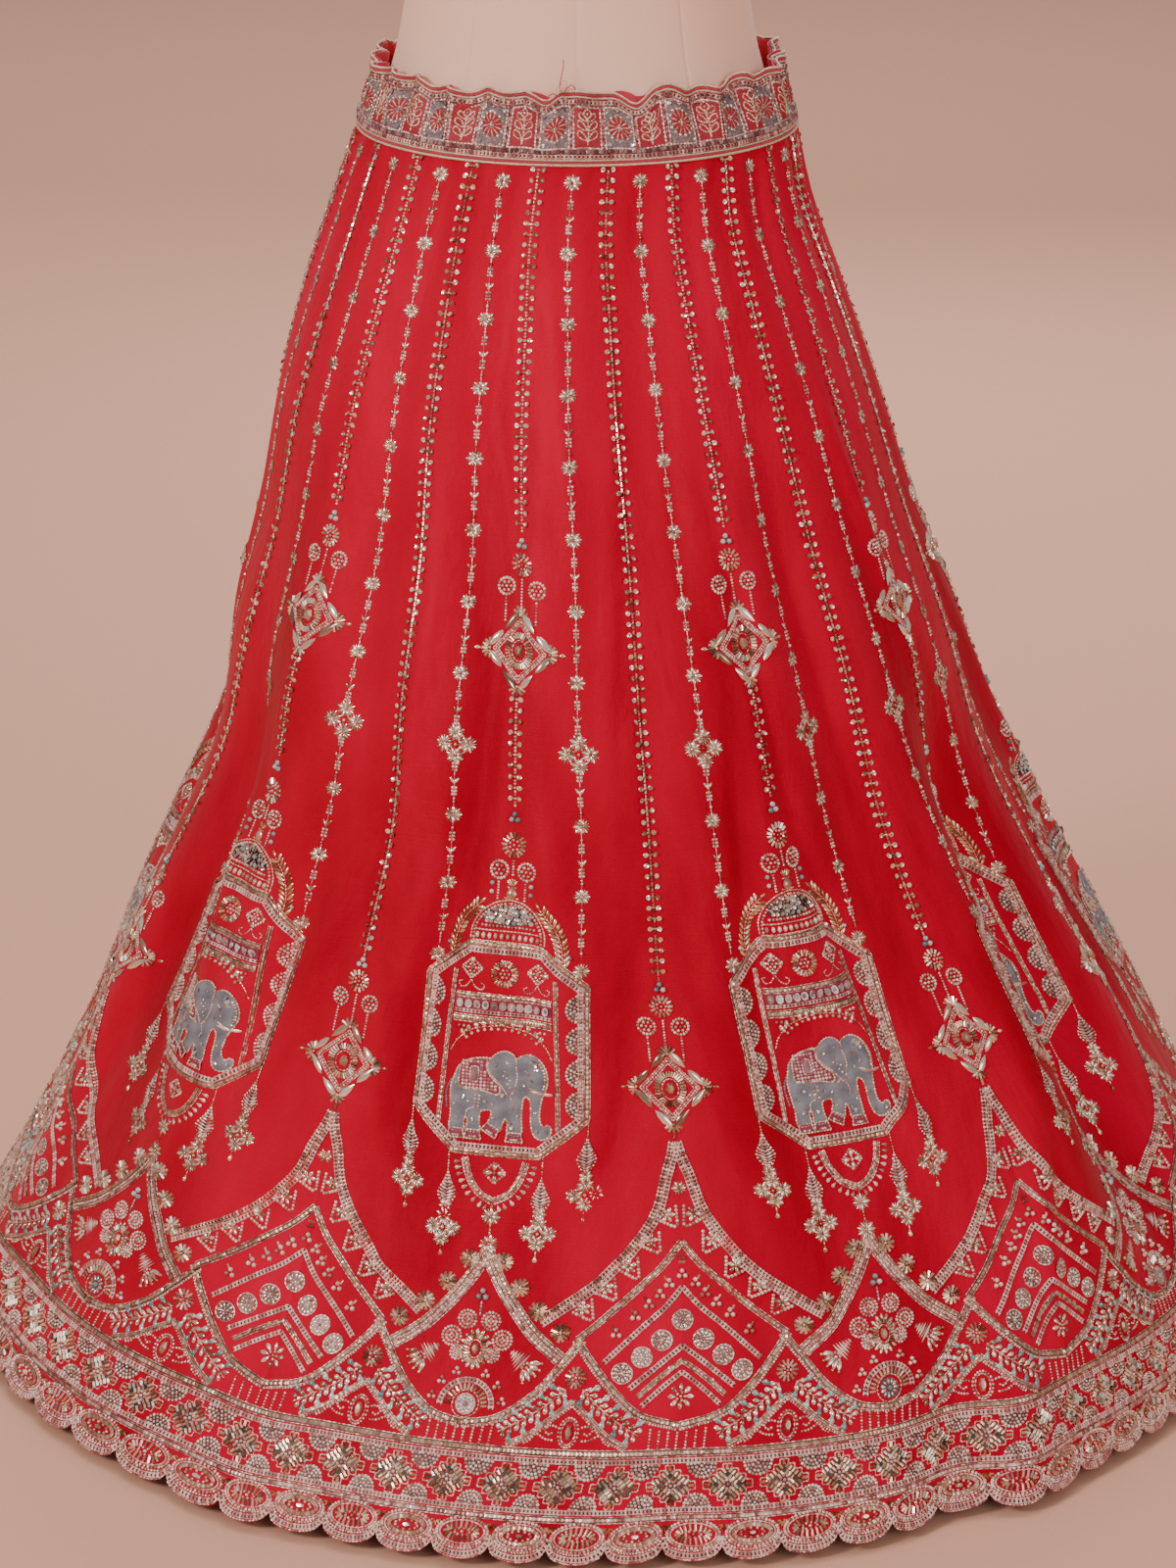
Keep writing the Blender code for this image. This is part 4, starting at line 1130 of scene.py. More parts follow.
def low_curve(work, curve, pitch, size, columns, top, bend):
    """Strip with sequins on it and beads beside it, over short columns of beads."""
    strip(work.pair, curve, 4)
    work.pair.line("seed", "bead", curve, 2.1, 1.9, 1.9, aside=-3.2)
    work.pair.line("sequin", "silver", curve, pitch, size, size)
    for across in columns:
        downs = np.arange(top - bend * across ** 2, COLUMNS_LOW, 2.15)
        (work.pair if across else work).put("seed", "bead", across, downs, 1.9)


work = Work()
pair = work.pair
strip(pair, SMALL_ARCH, 3.4, "rose", aside=2.6)
pair.line("seed", "bead", SMALL_ARCH, 2.1, 1.9, 1.9)
strip(pair, SMALL_ARCH, 3.4, aside=-2.6)
for across, down in ((12, 787.5), (25.5, 805), (40, 820.5), (57.5, 834.5)):
    pair.ring("tube", "silver", across, down, 4.4, 11, 5.4, 2.4)
    pair.ring("seed", "gold", across, down, 2.2, 5, 2.1)
    pair.put("pearl", "silver", across, down, 3.2)
trefoil(work, 0, 812, 4.6)
work.line("stitch", "aqua", ((0, 816.5), (0, 826.5)), 2.4, 1.5)
for across, down, reach in ((8.4, 829.8, 7), (18, 842.5, 7.4), (12.5, 853.5, 5.4)):
    pair.ring("seed", "bead", across, down, 0.88 * reach, int(2.5 * reach), 2.3)
    pair.ring("seed", "pink", across, down, 0.53 * reach, int(1.6 * reach), 2.4)
    pair.ring("seed", "bead", across, down, 0.2 * reach, 4, 2.2)
oval_rosette(work, 0, 850, 8.6, 11.2)
work.ring("leaf", "silver", 0, 850, (9.2, 12), 16, 4.8, 2.5)
for side_angle in (-36, -18, 0, 18, 36):
    angle = 38 + side_angle
    x, s = ray(angle)
    pair.put("leaf", "silver", 33 + 10.5 * x, 856 + 10.5 * s, 8, 3.4, angle)
    pair.put("pearl", "gold", 33 + 15.2 * x, 856 + 15.2 * s, 2.8, angle=angle)
for row in range(6):
    pair.put("stitch", "pink" if row % 2 else "rose", 26.4 + 1.6 * row, 850.2 + 1.35 * row,
             3.6 + 1.75 * row, 2.3, 128)
pair.ring("seed", "pink", 38, 860, 3.2, 8, 2.3)
pair.put("pearl", "bead", 38, 860, 2.8)
chain_arc = [(x, 890 + s) for x, s in (ray(angle, 18.6) for angle in range(180, 361, 12))]
chain(work, chain_arc, 4.4)
work.ring("tube", "silver", 0, 889, 13.2, 15, 4.6, 1.9, arc=(182, 358))
work.ring("stitch", "copper", 0, 888, 9.4, 20, 3, 1.5, tangent=True)
work.put("coin", "plum", 0, 888, 15)
work.ring("leaf", "mirror", 0, 888, 4.9, 11, 4.2, 2.3)
work.put("stone", "mirror", 0, 888, 4.4)
for angle in (192, 219, 246, 294, 321, 348):
    x, s = ray(angle, 25.6)
    trefoil(work, x, 890 + s, 3.3, "bead")
low = smooth_line((73, 838), (61, 857), (46, 878), (24, 895), (0, 900.7))
low_curve(work, low, 7.4, 3.4, (3.2, 9.6, 16, 22.4), 904.6, 0.0088)
sew("small_arches", work, MIDDLES)

# ---- the large pointed arches
# From each seam's diamond springs a wide pointed arch of double chain stitch. Bead
# swags with flowers hang inside it, then strips and chains one under another, with
# trefoils and a row of seven embossed coins between.
BIG_ARCH = smooth_line((0.6, 698), (3, 708), (8, 723), (16, 749), (33.5, 775.7), (51, 794), (70, 808.5),
                       (98, 828))
work = Work()
pair = work.pair
chain(pair, BIG_ARCH, 4, aside=2.2)
chain(pair, BIG_ARCH, 4, "rose", aside=-2.2)
pair.line("stitch", "gold", BIG_ARCH, 2.8, 1.3)
star_flower(work, 0, 731.5, 5.2, 6)
for across, down, lean in ((9.2, 752, 0), (21.5, 770.5, 12), (36.5, 789, 18), (52.5, 804.5, 20),
                           (68.5, 818, 20)):
    swag = ((across - 6.4, down - 8.6), (across - 7, down + 5.4), (across - 4.6, down + 7),
            (across + 7.6, down + 1.2))
    pair.line("seed", "bead", swag, 2.5, 2.7, 2.7)
    pair.ring("leaf", "silver", across, down - 1.6, 3.2, 6, 5.2, 2.8, arc=(lean, lean + 360))
    pair.put("pearl", "gold", across, down - 1.6, 2.5)
upper = smooth_line((0, 769.6), (12, 785.5), (26, 799), (46, 817.5), (72, 838.5))
strip(pair, upper, 3.8)
middle_line = smooth_line((0, 802), (12, 816), (28, 830), (54, 854.4))
steps = np.linspace(0, 1, len(middle_line))
for place in (0.12, 0.3, 0.48, 0.66, 0.84):
    across, down = (np.interp(place, steps, column) for column in middle_line.T)
    trefoil(pair, across + 4.8, down - 7.6, 3.9, "bead")
    pair.put("tube", "silver", across + 7.2, down - 11.6, 3.4, 1.9, 120)
work.put("tube", "silver", 0, np.array([781, 784.5]), 5, 1.9, 0)
trefoil(work, 0, 793, 3.9, "bead")
chain(pair, middle_line, 4.2)


def coin(work, across, down):
    """An embossed disc ringed with cord, leaves and beads."""
    work.put("coin", "plum", across, down, 14.4)
    work.ring("stitch", "bead", across, down, 6.9, 14, 3.4, 1.5, tangent=True)
    work.ring("leaf", "silver", across, down, 4.7, 11, 3.7, 2.2)
    work.ring("seed", "bead", across, down, 1.9, 5, 1.9)
    work.put("seed", "silver", across, down, 2.4)


coin(work, 0, 825)
for across, down in ((14.3, 838.8), (28, 850.4), (41.4, 861.6)):
    coin(pair, across, down)
chain(pair, smooth_line((0, 843), (14, 854), (36, 872)), 4.2)
strip(pair, smooth_line((0, 853), (14, 863.5), (30, 877.5)), 2.8)
pair.put("sequin", "silver", np.array([8, 20]), np.array([858.6, 867.6]), 4)
chain(pair, smooth_line((0, 861), (12, 870.5), (27, 884)), 3.8)
work.ring("leaf", "silver", 0, 878, 6.2, 8, 6, 3.2)
work.ring("pearl", "pink", 0, 878, 2.8, 5, 2.2)
work.put("pearl", "gold", 0, 878, 2.6)
low = smooth_line((73, 838), (61, 856), (46, 874.5), (28, 890), (0, 898))
low_curve(work, low, 8, 3.2, (0, 6.4, 12.8, 19.2), 903, 0.007)
sew("large_arches", work, SEAM_PLACES)

# ---- the garlands between the arches
# Where two low curves meet hangs a rosette, and below it two garlands of aqua and
# silver leaves run down either side of a small gable with an oval medallion.
work = Work()
pair = work.pair
work.ring("tube", "silver", 0, 865, 5.6, 13, 4.6, 1.9)
work.ring("seed", "pink", 0, 865, 2.4, 5, 2.1)
work.put("pearl", "gold", 0, 865, 2.5)
garland = smooth_line((6, 873), (17, 883.5), (32, 894.5), (49, 904.5))
pair.line("stitch", "rose", garland, 2.6, 1.4)
for lean, aside in ((-46, -2.5), (46, 2.5)):
    pair.line("drop", "silver", garland, 5.6, 3.6, 6.4, aside=aside, turned=lean)
    pair.line("drop", "aqua", garland, 11.6, 4.6, 7, aside=2.6 * aside, turned=1.5 * lean)
pair.line("stone", "rose", garland, 9.6, 3.4, 3.4)
pair.line("pearl", "bead", garland, 11.6, 2.6, 2.6, aside=-7.9)
gable = smooth_line((0, 881), (12, 891.5), (26, 903.5), (42, 912.6))
strip(pair, gable, 2.6)
pair.line("seed", "bead", gable, 2.15, 1.8, 1.8, aside=2.6)
work.ring("stitch", "rose", 0, 902.5, (5, 8.2), 16, 2.8, 1.5, tangent=True)
work.ring("seed", "bead", 0, 902.5, (6.8, 10), 22, 2)
work.put("stone", "copper", 0, 902.5, 11, 6)
for whirl in (smooth_line((8, 899), (13, 898), (16.5, 901), (13.5, 904), (10.5, 902.5)),
              smooth_line((9.5, 908), (16, 907), (22, 904), (26, 908.5), (30.5, 911))):
    pair.line("seed", "bead", whirl, 2.2, 1.9, 1.9)
sew("garlands", work, QUARTERS)

# ---- the hem border
# Round the hem runs a border between two bands of strip and chain stitch: stepped
# medallions of tube beads, with half rosettes hanging and standing between them.
BORDER_TOP = 916.5


def level_row(down):
    """The full width of a kali at one distance down."""
    return span(half_at(down), down)


def scallop_places(down, offset=0.5):
    """Across positions of the scallops' middles, or of their notches at offset 0."""
    return (2 * (np.arange(SCALLOPS) + offset) / SCALLOPS - 1) * half_at(down)


work = Work()
pair = work.pair
strip(work, level_row(BORDER_TOP), 4.6, pitch=3)
chain(work, level_row(922), 4.2)
chain(work, level_row(955.4), 4)
strip(work, level_row(960.2), 3.8, "rose", 3.2)
STEPS = np.array([
    (0, -14), (3, -14), (3, -10.6), (7.4, -10.6), (7.4, -6.8), (12.4, -6.8), (12.4, -2.8), (17, -2.8),
    (17, 2.8), (12.4, 2.8), (12.4, 6.8), (7.4, 6.8), (7.4, 10.6), (3, 10.6), (3, 14), (0, 14)])
medallion = Work()
for start, end in zip(STEPS, STEPS[1:]):
    medallion.pair.line("stitch", "pink", (start, end), 2.2, 1.2)
for top in (-1, 1):
    for reach_x, reach_s, count in ((13.2, 11.2, 5), (7.2, 6.1, 3)):
        share = 0.5 + (np.arange(count) - 0.5 * (count - 1)) * 2.9 / math.hypot(reach_x, reach_s)
        x, s = reach_x * (1 - share), top * reach_s * share
        angle = math.degrees(math.atan2(top * reach_x, reach_s))
        medallion.pair.put("tube", "silver", x, s, 3.8, 2.3, angle)
medallion.ring("tube", "gold", 0, 0, (14.2, 12), 4, 4.2, 2.2)
medallion.ring("pearl", "pink", 0, 0, 3, 7, 2.5)
medallion.put("pearl", "bead", 0, 0, 2.8)
# dark sheets of painted shade under the medallion darken the gaps between its tubes and beads
medallion.put("bed", "umber", (-8.6, 0, 8.6), 0, (10, 21, 10), 8.4)
for across in scallop_places(939, 0):
    work.take(medallion, across, 939)
for across in scallop_places(924.5):
    half_rosette(work, across, 924, 10.4, 90)
for across in scallop_places(953):
    half_rosette(work, across, 953.8, 9.6, 270)
sew("hem_border", work, MIDDLES)

# ---- the scalloped edge
# Each scallop holds an oval of beads, by turns rayed and ringed. The cut edge is
# bound with a cord, and inside it run a row of chain stitch and a row of beads.
OVAL_DOWN = 972
SCALLOP_STEPS = 12


def scallop_line(inset):
    """A line along the scalloped hem, this far up from it."""
    share = np.linspace(0, 1, SCALLOPS * SCALLOP_STEPS + 1)
    notch = scallop_notch((share * SCALLOPS) % 1)
    notch[::SCALLOP_STEPS] = SCALLOP_RISE
    down = np.interp(1 - notch / SKIRT_HEIGHT, cut_drops, cut_down) - inset
    return np.stack([(2 * share - 1) * half_at(down), down], axis=1)


work = Work()
work.line("stitch", "rose", scallop_line(0.8), 2.6, 1.8)
chain(work, scallop_line(3.6), 4.4)
work.line("seed", "bead", scallop_line(6.9), 2.2, 2, 2)
for number, across in enumerate(scallop_places(OVAL_DOWN)):
    work.ring("seed", "bead", across, OVAL_DOWN, (18.2, 9.4), 38, 2.5)
    work.ring("stitch", "pink", across, OVAL_DOWN, (16, 7.6), 26, 3.4, 1.6, tangent=True)
    if number % 2:
        work.ring("plate", "copper", across, OVAL_DOWN, (12.8, 5.4), 20, 3.6, 3, tangent=True)
        work.ring("pearl", "bead", across, OVAL_DOWN, (8.2, 3.2), 11, 2.3)
        work.put("stone", "silver", across, OVAL_DOWN, 7, 4.4, 0)
    else:
        work.ring("tube", "silver", across, OVAL_DOWN, (10.8, 4.6), 18, 4.8, 2)
        work.ring("seed", "pink", across, OVAL_DOWN, (5.4, 2.2), 9, 2)
        work.put("pearl", "gold", across, OVAL_DOWN, 3, angle=0)
for across in scallop_places(964.5, 0):
    work.ring("tube", "gold", across, 966, 2.2, 5, 3, 1.5, arc=(0, 180))
sew("scalloped_edge", work, MIDDLES)

# ---- the waistband and its facing
# The waistband is a strip of embroidered cloth, gathered by the cord inside it so
# that it stands up in uneven ruffles, with a plain crimson facing behind it.
BAND_TALL = 0.049
BAND_WALL = 0.0018
SEAM_GAP = 0.0003
FACING_WALL = 0.001
FORM_GAP = 0.0004
RUFFLE_DEPTH = 0.004
RUFFLE_LIFT = 0.0022
RUFFLE_LEAD = 1.2
FACING_DIP = 0.0012
BAND_RUFFLES = 27
SMALL_RUFFLES = 46
SMALL_SHARE = 0.3
RUFFLE_DRIFT = 1.1
RUFFLE_SWINGS = 2
RUFFLE_START = 0.4
BAND_LEAN = 0.016
CRUMPLE = 0.0006            # of the finest waves, which the solids leave out
CRUMPLES = 61
CRUMPLE_LEAN = 3
EVEN_FROM, EVEN_OVER = 0.78, 0.22   # the share of the rise over which a whole top evens out
# The gathers that the cord drew up unevenly: where the band's top stands high or low,
# how far it is pushed out there, and over how many degrees.
Tuck = namedtuple("Tuck", "turn lift push half_turn")
TUCKS = [Tuck(*row) for row in (
    (-4, 0, 0.005, 4), (13, 0, -0.003, 5), (38, 0, 0.004, 7), (74, 0, 0.006, 9), (112, 0, 0.009, 14),
    (-40, 0, 0.003, 7), (-71, 0, 0.005, 8), (-128, 0, 0.006, 12), (170, 0, 0.005, 12), (-56, 0.0024, 0, 8),
    (-36, -0.0022, 0, 5), (-19, 0.0016, 0.001, 4), (-10, -0.0046, -0.0015, 3.2), (-4.6, 0.0036, 0.003, 1.9),
    (5.5, 0.0026, 0.0015, 4), (15.5, -0.0072, -0.001, 4.4), (26.5, 0.003, 0.001, 5), (41, -0.0024, 0, 4),
    (53, 0.0026, 0.0015, 5), (64, -0.002, -0.001, 4), (76, 0.004, 0.002, 6), (95, -0.0032, 0, 5),
    (118, 0.0032, 0.0015, 6), (137, -0.004, -0.0015, 4.5), (152, 0.0024, 0.001, 5),
    (167, -0.0044, -0.001, 4.5), (-176, 0.003, 0.001, 5), (-160, -0.0024, 0, 5), (-142, 0.0034, 0.0015, 6),
    (-121, -0.0046, -0.0015, 5), (-101, 0.003, 0.001, 6), (-83, -0.0034, -0.001, 5), (-70, 0.0024, 0, 4))]
Ring = namedtuple("Ring", "height half_width half_depth shift_y")
TORSO_RINGS = [Ring(*row) for row in (
    (0.7, 0.138, 0.105, -0.005), (0.725, 0.154, 0.119, -0.007), (0.78, 0.168, 0.132, -0.01),
    (0.85, 0.17, 0.135, -0.012), (0.914, 0.1622, 0.125, -0.012), (0.967, 0.1385, 0.106, -0.012),
    (1.015, 0.1278, 0.096, -0.011), (1.07, 0.1215, 0.09, -0.009), (1.14, 0.128, 0.097, -0.01),
    (1.23, 0.143, 0.118, -0.016), (1.31, 0.154, 0.108, -0.008), (1.375, 0.16, 0.09, 0),
    (1.415, 0.145, 0.074, 0.004), (1.442, 0.098, 0.061, 0.006), (1.465, 0.062, 0.053, 0.006),
    (1.5, 0.054, 0.05, 0.005), (1.53, 0.052, 0.048, 0.004))]
BAND_COLUMNS = 432
BAND_ROWS = 9


def against_form(name, height):
    layers = BAND_WALL + SEAM_GAP + FACING_WALL + FORM_GAP
    return table_curve(TORSO_RINGS, "height", name, height) + layers


def band_surface(turn, rise, whole=False):
    """Points of the waistband's outer face; rise is 0 at its seam, 1 at its top.

    With whole, the top edge isn't drawn down in the low gathers.
    """
    turn, rise = np.broadcast_arrays(np.asarray(turn, float), np.asarray(rise, float))
    angle = np.radians(turn)
    drift = RUFFLE_DRIFT * np.sin(RUFFLE_SWINGS * angle + RUFFLE_START)
    phase = BAND_RUFFLES * angle + drift
    push = RUFFLE_DEPTH * (np.sin(phase) + SMALL_SHARE * np.sin(SMALL_RUFFLES * angle + drift))
    push = push + CRUMPLE * np.sin(CRUMPLES * angle + CRUMPLE_LEAN * rise)
    drawn = np.zeros_like(turn)
    for tuck in TUCKS:
        near = np.exp(-(turn_between(turn, tuck.turn) / tuck.half_turn) ** 2)
        drawn = drawn + tuck.lift * near
        push = push + tuck.push * near
    spread = smooth_step(rise)
    push = (push - BAND_LEAN) * spread
    lift = (RUFFLE_LIFT * np.sin(phase + RUFFLE_LEAD) + drawn) * spread
    if whole:
        lift = lift - np.minimum(drawn, 0) * spread * smooth_step((rise - EVEN_FROM) / EVEN_OVER)
    z = waist_height(turn) + SEAM_GAP + BAND_TALL * rise + lift
    seam = SKIRT_SECTIONS[0]
    half_width = np.maximum(seam.half_width + push, against_form("half_width", z))
    half_depth = np.maximum(seam.half_depth + push, against_form("half_depth", z))
    x = seam.shift_x + half_width * np.sin(angle)
    y = seam.shift_y - half_depth * np.cos(angle)
    return np.stack([x, y, z], axis=-1)


BAND_GIRTH = 2 * KALIS * cut_half[0]


def band_face(place, across, down):
    """Points of the waistband from a turn and millimetres across and from its top."""
    return band_surface(place + across * 360 / BAND_GIRTH, 1 - down * MM / BAND_TALL)


def band_ring(name, inset, dip, made, whole=False):
    """A ring of cloth this far inside the waistband's outer face."""
    turns = np.arange(BAND_COLUMNS) * 360 / BAND_COLUMNS
    rises = np.linspace(1 - dip / BAND_TALL, 0, BAND_ROWS)
    face = band_surface(turns[None], rises[:, None], whole)
    along = np.roll(face, -1, axis=1) - np.roll(face, 1, axis=1)
    away = np.stack([along[..., 1], -along[..., 0], np.zeros(along.shape[:2])], axis=-1)
    away /= np.linalg.norm(away, axis=-1, keepdims=True)
    flat = np.broadcast_arrays(turns[None] / 360 * BAND_GIRTH * MM, rises[:, None] * BAND_TALL)
    mesh = grid_mesh(name, face - inset * away, np.stack(flat, axis=-1), closed=True)
    return add_piece(name, mesh, made)


# the band's cloth: crimson, closely worked over in rose and plum thread
band_cloth = Finish("worked_band_cloth")
patchy = band_cloth.texture("Voronoi", 520, output="Distance")
split = band_cloth.nodes.new("ShaderNodeSeparateColor")
band_cloth.link(patchy.node.outputs["Color"], split.inputs["Color"])
band_cloth.colour(split.outputs["Red"], (0.1, (0.16, 0.008, 0.02)), (0.45, (0.32, 0.03, 0.05)),
                  (0.72, (0.44, 0.15, 0.13)), (0.95, (0.62, 0.38, 0.3)))
band_cloth.relief(patchy, 0.6, 0.0005)
band_cloth.set(Roughness=0.5, Metallic=0.2)
facing_cloth = Finish("crimson_facing_cloth")
facing_cloth.colour(facing_cloth.texture("Noise", 40), (0.3, (0.46, 0.004, 0.03)),
                    (0.7, (0.6, 0.008, 0.05)))
facing_cloth.relief(facing_cloth.texture("Noise", 1400, (1, 1, 0.3)), 0.4, 0.0003)
facing_cloth.set(Roughness=0.6, Sheen_Weight=0.3)

band = band_ring("waistband_cloth", 0, 0, band_cloth)
thicken(band, BAND_WALL)
facing = band_ring("waistband_lining", BAND_WALL + SEAM_GAP, FACING_DIP, facing_cloth, whole=True)
thicken(facing, FACING_WALL)
for piece, slot, node in ((band, "embroidered_band", "waistband"),
                          (facing, "crimson_facing", "waistband_facing")):
    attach(piece, "root")
    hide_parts(node)

# ---- the waistband's work
# Forty-two small squares run round the band, by turns mauve net with a red and gold
# disc flower and crimson with a sprig of gold cord, between rows of chain stitch,
# plum beads and sequins. Cream and crimson piping edges it above and below.
PAIRS = 21
PAIR_PLACES = np.arange(PAIRS) * 360 / PAIRS - 1.5
SQUARE_PITCH = BAND_GIRTH / (2 * PAIRS)
SQUARE_TOP, SQUARE_LOW = 10.2, 37.6
TONES["net"] = Tone((0.09, 0.045, 0.05), (0.21, 0.14, 0.145), (0.4, 0.3, 0.29), 0.55, 0.2, 600, 1)
TONES["ruby"] = Tone((0.22, 0.0005, 0.008), (0.36, 0.001, 0.016), (0.49, 0.003, 0.028), 0.6, 0, 420, 1)


def square_outline(middle, half, top, low):
    left, right = middle - half, middle + half
    return smooth_line((left, top), (right, top), (right, low), (left, low), (left, top), steps=1)


half_pitch = SQUARE_PITCH / 2
net_square = square_outline(-half_pitch, 9.6, SQUARE_TOP, SQUARE_LOW)
red_square = square_outline(half_pitch, 9.2, SQUARE_TOP + 0.4, SQUARE_LOW - 0.2)
cut_outs("band_squares", ((net_square, "net", 0.12, 0.1, 2.5), (red_square, "ruby", 0.12, 0.1, 2.5)),
         PAIR_PLACES, band_face)
work = Work()
for outline in (net_square, red_square):
    work.line("stitch", "bead", outline, 2.6, 1.7)
square_middle = 0.5 * (SQUARE_TOP + SQUARE_LOW)
work.ring("leaf", "ruby", -half_pitch, square_middle, 4.8, 12, 6.8, 3.2)
work.ring("stitch", "cream", -half_pitch, square_middle, 4.9, 12, 4.2, 1.5, arc=(15, 375))
work.ring("seed", "silver", -half_pitch, square_middle, 8.3, 14, 2.2)
work.ring("seed", "pink", -half_pitch, square_middle, 1.7, 4, 1.7)
work.put("pearl", "silver", -half_pitch, square_middle, 2)
for side in (-7.4, 7.4):
    for end in (SQUARE_TOP + 2.6, SQUARE_LOW - 2.6):
        work.put("sequin", "mirror", -half_pitch + side, end, 3)
stem = smooth_line((half_pitch, SQUARE_LOW - 2), (half_pitch + 0.6, 28), (half_pitch, SQUARE_TOP + 7))
work.line("stitch", "cream", stem, 2.2, 1.5)
for down, size in ((32, 1), (25.6, 1), (19.6, 0.85)):
    for side in (-1, 1):
        loop = smooth_line((0, 0), (3.4, -0.6), (6.4, -3.2), (5.6, -6), (2.6, -4.2), (0, 0), steps=5)
        work.line("stitch", "cream", loop * (side * size, size) + (half_pitch, down), 2, 1.35)
loop = smooth_line((0, 0), (2.6, -3), (0, -6.4), (-2.6, -3), (0, 0), steps=5)
work.line("stitch", "cream", loop + (half_pitch, SQUARE_TOP + 8), 2, 1.35)


def band_row(down):
    return span(SQUARE_PITCH, down)


chain(work, band_row(7.2), 3.2, "rose")
work.line("seed", "plum", band_row(9.3), 2.2, 1.9, 1.9)
work.line("tube", "plum", band_row(39.6), 3.1, 2.6, 2.8, turned=90)
work.line("sequin", "silver", band_row(39.4), 7.3, 2.6, 2.6)
chain(work, band_row(43), 3.4, "rose")
for side in (-10.9, 10.9):
    work.put("seed", "silver", side, np.array([12, 15, 33]), 1.8)
sew("band_work", work, PAIR_PLACES, band_face)


def mend(piece, operator, **settings):
    """Runs one mesh operator over a whole piece, then turns its faces outward."""
    select_only(piece)
    bpy.ops.object.mode_set(mode='EDIT')
    bpy.ops.mesh.select_all(action='SELECT')
    operator(**settings)
    bpy.ops.mesh.normals_make_consistent(inside=False)
    bpy.ops.object.mode_set(mode='OBJECT')


Piping = namedtuple("Piping", "name down radius")
PIPINGS = [Piping(*row) for row in (
    ("piping_top_edge", 0.2, 0.95), ("piping_top_crimson", 2.1, 0.85), ("piping_top_inner", 4, 0.75),
    ("piping_low_inner", 45.4, 0.75), ("piping_low_crimson", 47, 0.85), ("piping_low_edge", 48.9, 1.05))]
PIPING_STEPS = 432
PIPING_SIDES = 5
WELD = 0.00001              # closes the tube where its last row meets its first
cord_cloth = Finish("cream_piping_cloth")
twist = cord_cloth.texture("Noise", 900)
cord_cloth.colour(twist, (0.3, (0.5, 0.3, 0.2)), (0.6, (0.8, 0.64, 0.46)), (0.8, (0.9, 0.8, 0.62)))
cord_cloth.relief(twist, 0.5, 0.0003)
cord_cloth.set(Roughness=0.45, Metallic=0.25)
for piping in PIPINGS:
    turns = np.arange(PIPING_STEPS) * 360 / PIPING_STEPS
    at, right, _, away = tangent_frames(band_face, turns[:, None], np.zeros(1), np.full(1, piping.down))
    at, right, away = at[:, 0], right[:, 0], away[:, 0]
    right /= np.linalg.norm(right, axis=-1, keepdims=True)
    below = np.cross(right, away)
    radius = MM * piping.radius
    rows = [at + radius * ((0.5 + math.sin(a)) * away + math.cos(a) * below)
            for a in np.arange(PIPING_SIDES) * 2 * math.pi / PIPING_SIDES]
    rows.append(rows[0])
    mesh = grid_mesh(piping.name, np.array(rows), closed=True)
    piece = add_piece(piping.name, mesh, facing_cloth if "crimson" in piping.name else cord_cloth)
    mend(piece, bpy.ops.mesh.remove_doubles, threshold=WELD)
    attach(piece, "root")

# A small knot of loose thread ends stands on the band's top edge, left of the middle:
# each is a bent length of cotton, turned into a thin tube.
THREADS = (
    ("crimson", -4.6, ((0, 0, 1), (-1.6, 6, 3), (0.6, 12, 2), (3.4, 17, -1), (4, 21.5, -2.5))),
    ("crimson", -3.8, ((0, 0, 1), (2.4, 4, 4), (5.8, 5, 3), (8.6, 2, 2.5), (9.2, -3, 3.2))),
    ("crimson", -5.6, ((0, 0, 1), (-3, 3.6, 4), (-7, 4.2, 4), (-10, 1, 3.4), (-10.4, -4, 3.6))),
    ("cream", -4.4, ((0, 0, 1.2), (-2.6, 4.4, 3.6), (-0.4, 8.6, 4), (3, 6.6, 3.8), (2, 1.6, 3))),
    ("cream", -5, ((0, 0, 1.2), (3, 2.4, 4.2), (1.4, 6.6, 5), (-2.6, 5.6, 4.4), (-2, 0.4, 3.4))),
    ("cream", -3.4, ((0, 0, 1.2), (3.2, 3, 3.8), (6.4, 0.6, 3.6), (6, -4.4, 3.4), (8, -8.4, 3.6))),
)
THREAD_RADIUS = 0.38
THREAD_ROOT = 0.6           # millimetres below the band's top edge
for colour in ("crimson", "cream"):
    bundle = bpy.data.curves.new(f"loose_threads_{colour}", 'CURVE')
    bundle.dimensions = '3D'
    bundle.bevel_depth = THREAD_RADIUS * MM
    bundle.bevel_resolution = 0
    bundle.use_fill_caps = True
    for thread_colour, turn, bends in THREADS:
        if thread_colour == colour:
            frames = tangent_frames(band_face, np.full(1, turn), 0, THREAD_ROOT)
            at, right, _, away = (part[0] for part in frames)
            right = right / np.linalg.norm(right)
            bends = smooth_line(*bends, steps=4)
            spline = bundle.splines.new('POLY')
            spline.points.add(len(bends) - 1)
            for point, (aside, up, out) in zip(spline.points, bends):
                point.co = (*(at + MM * (aside * right + out * away) + (0, 0, up * MM)), 1)
    threads = bpy.data.objects.new(f"loose_threads_{colour}", bundle)
    bpy.context.scene.collection.objects.link(threads)
    select_only(threads)
    bpy.ops.object.convert(target='MESH')
    threads.data.materials.append((facing_cloth if colour == "crimson" else cord_cloth).material)
    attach(threads, "root")

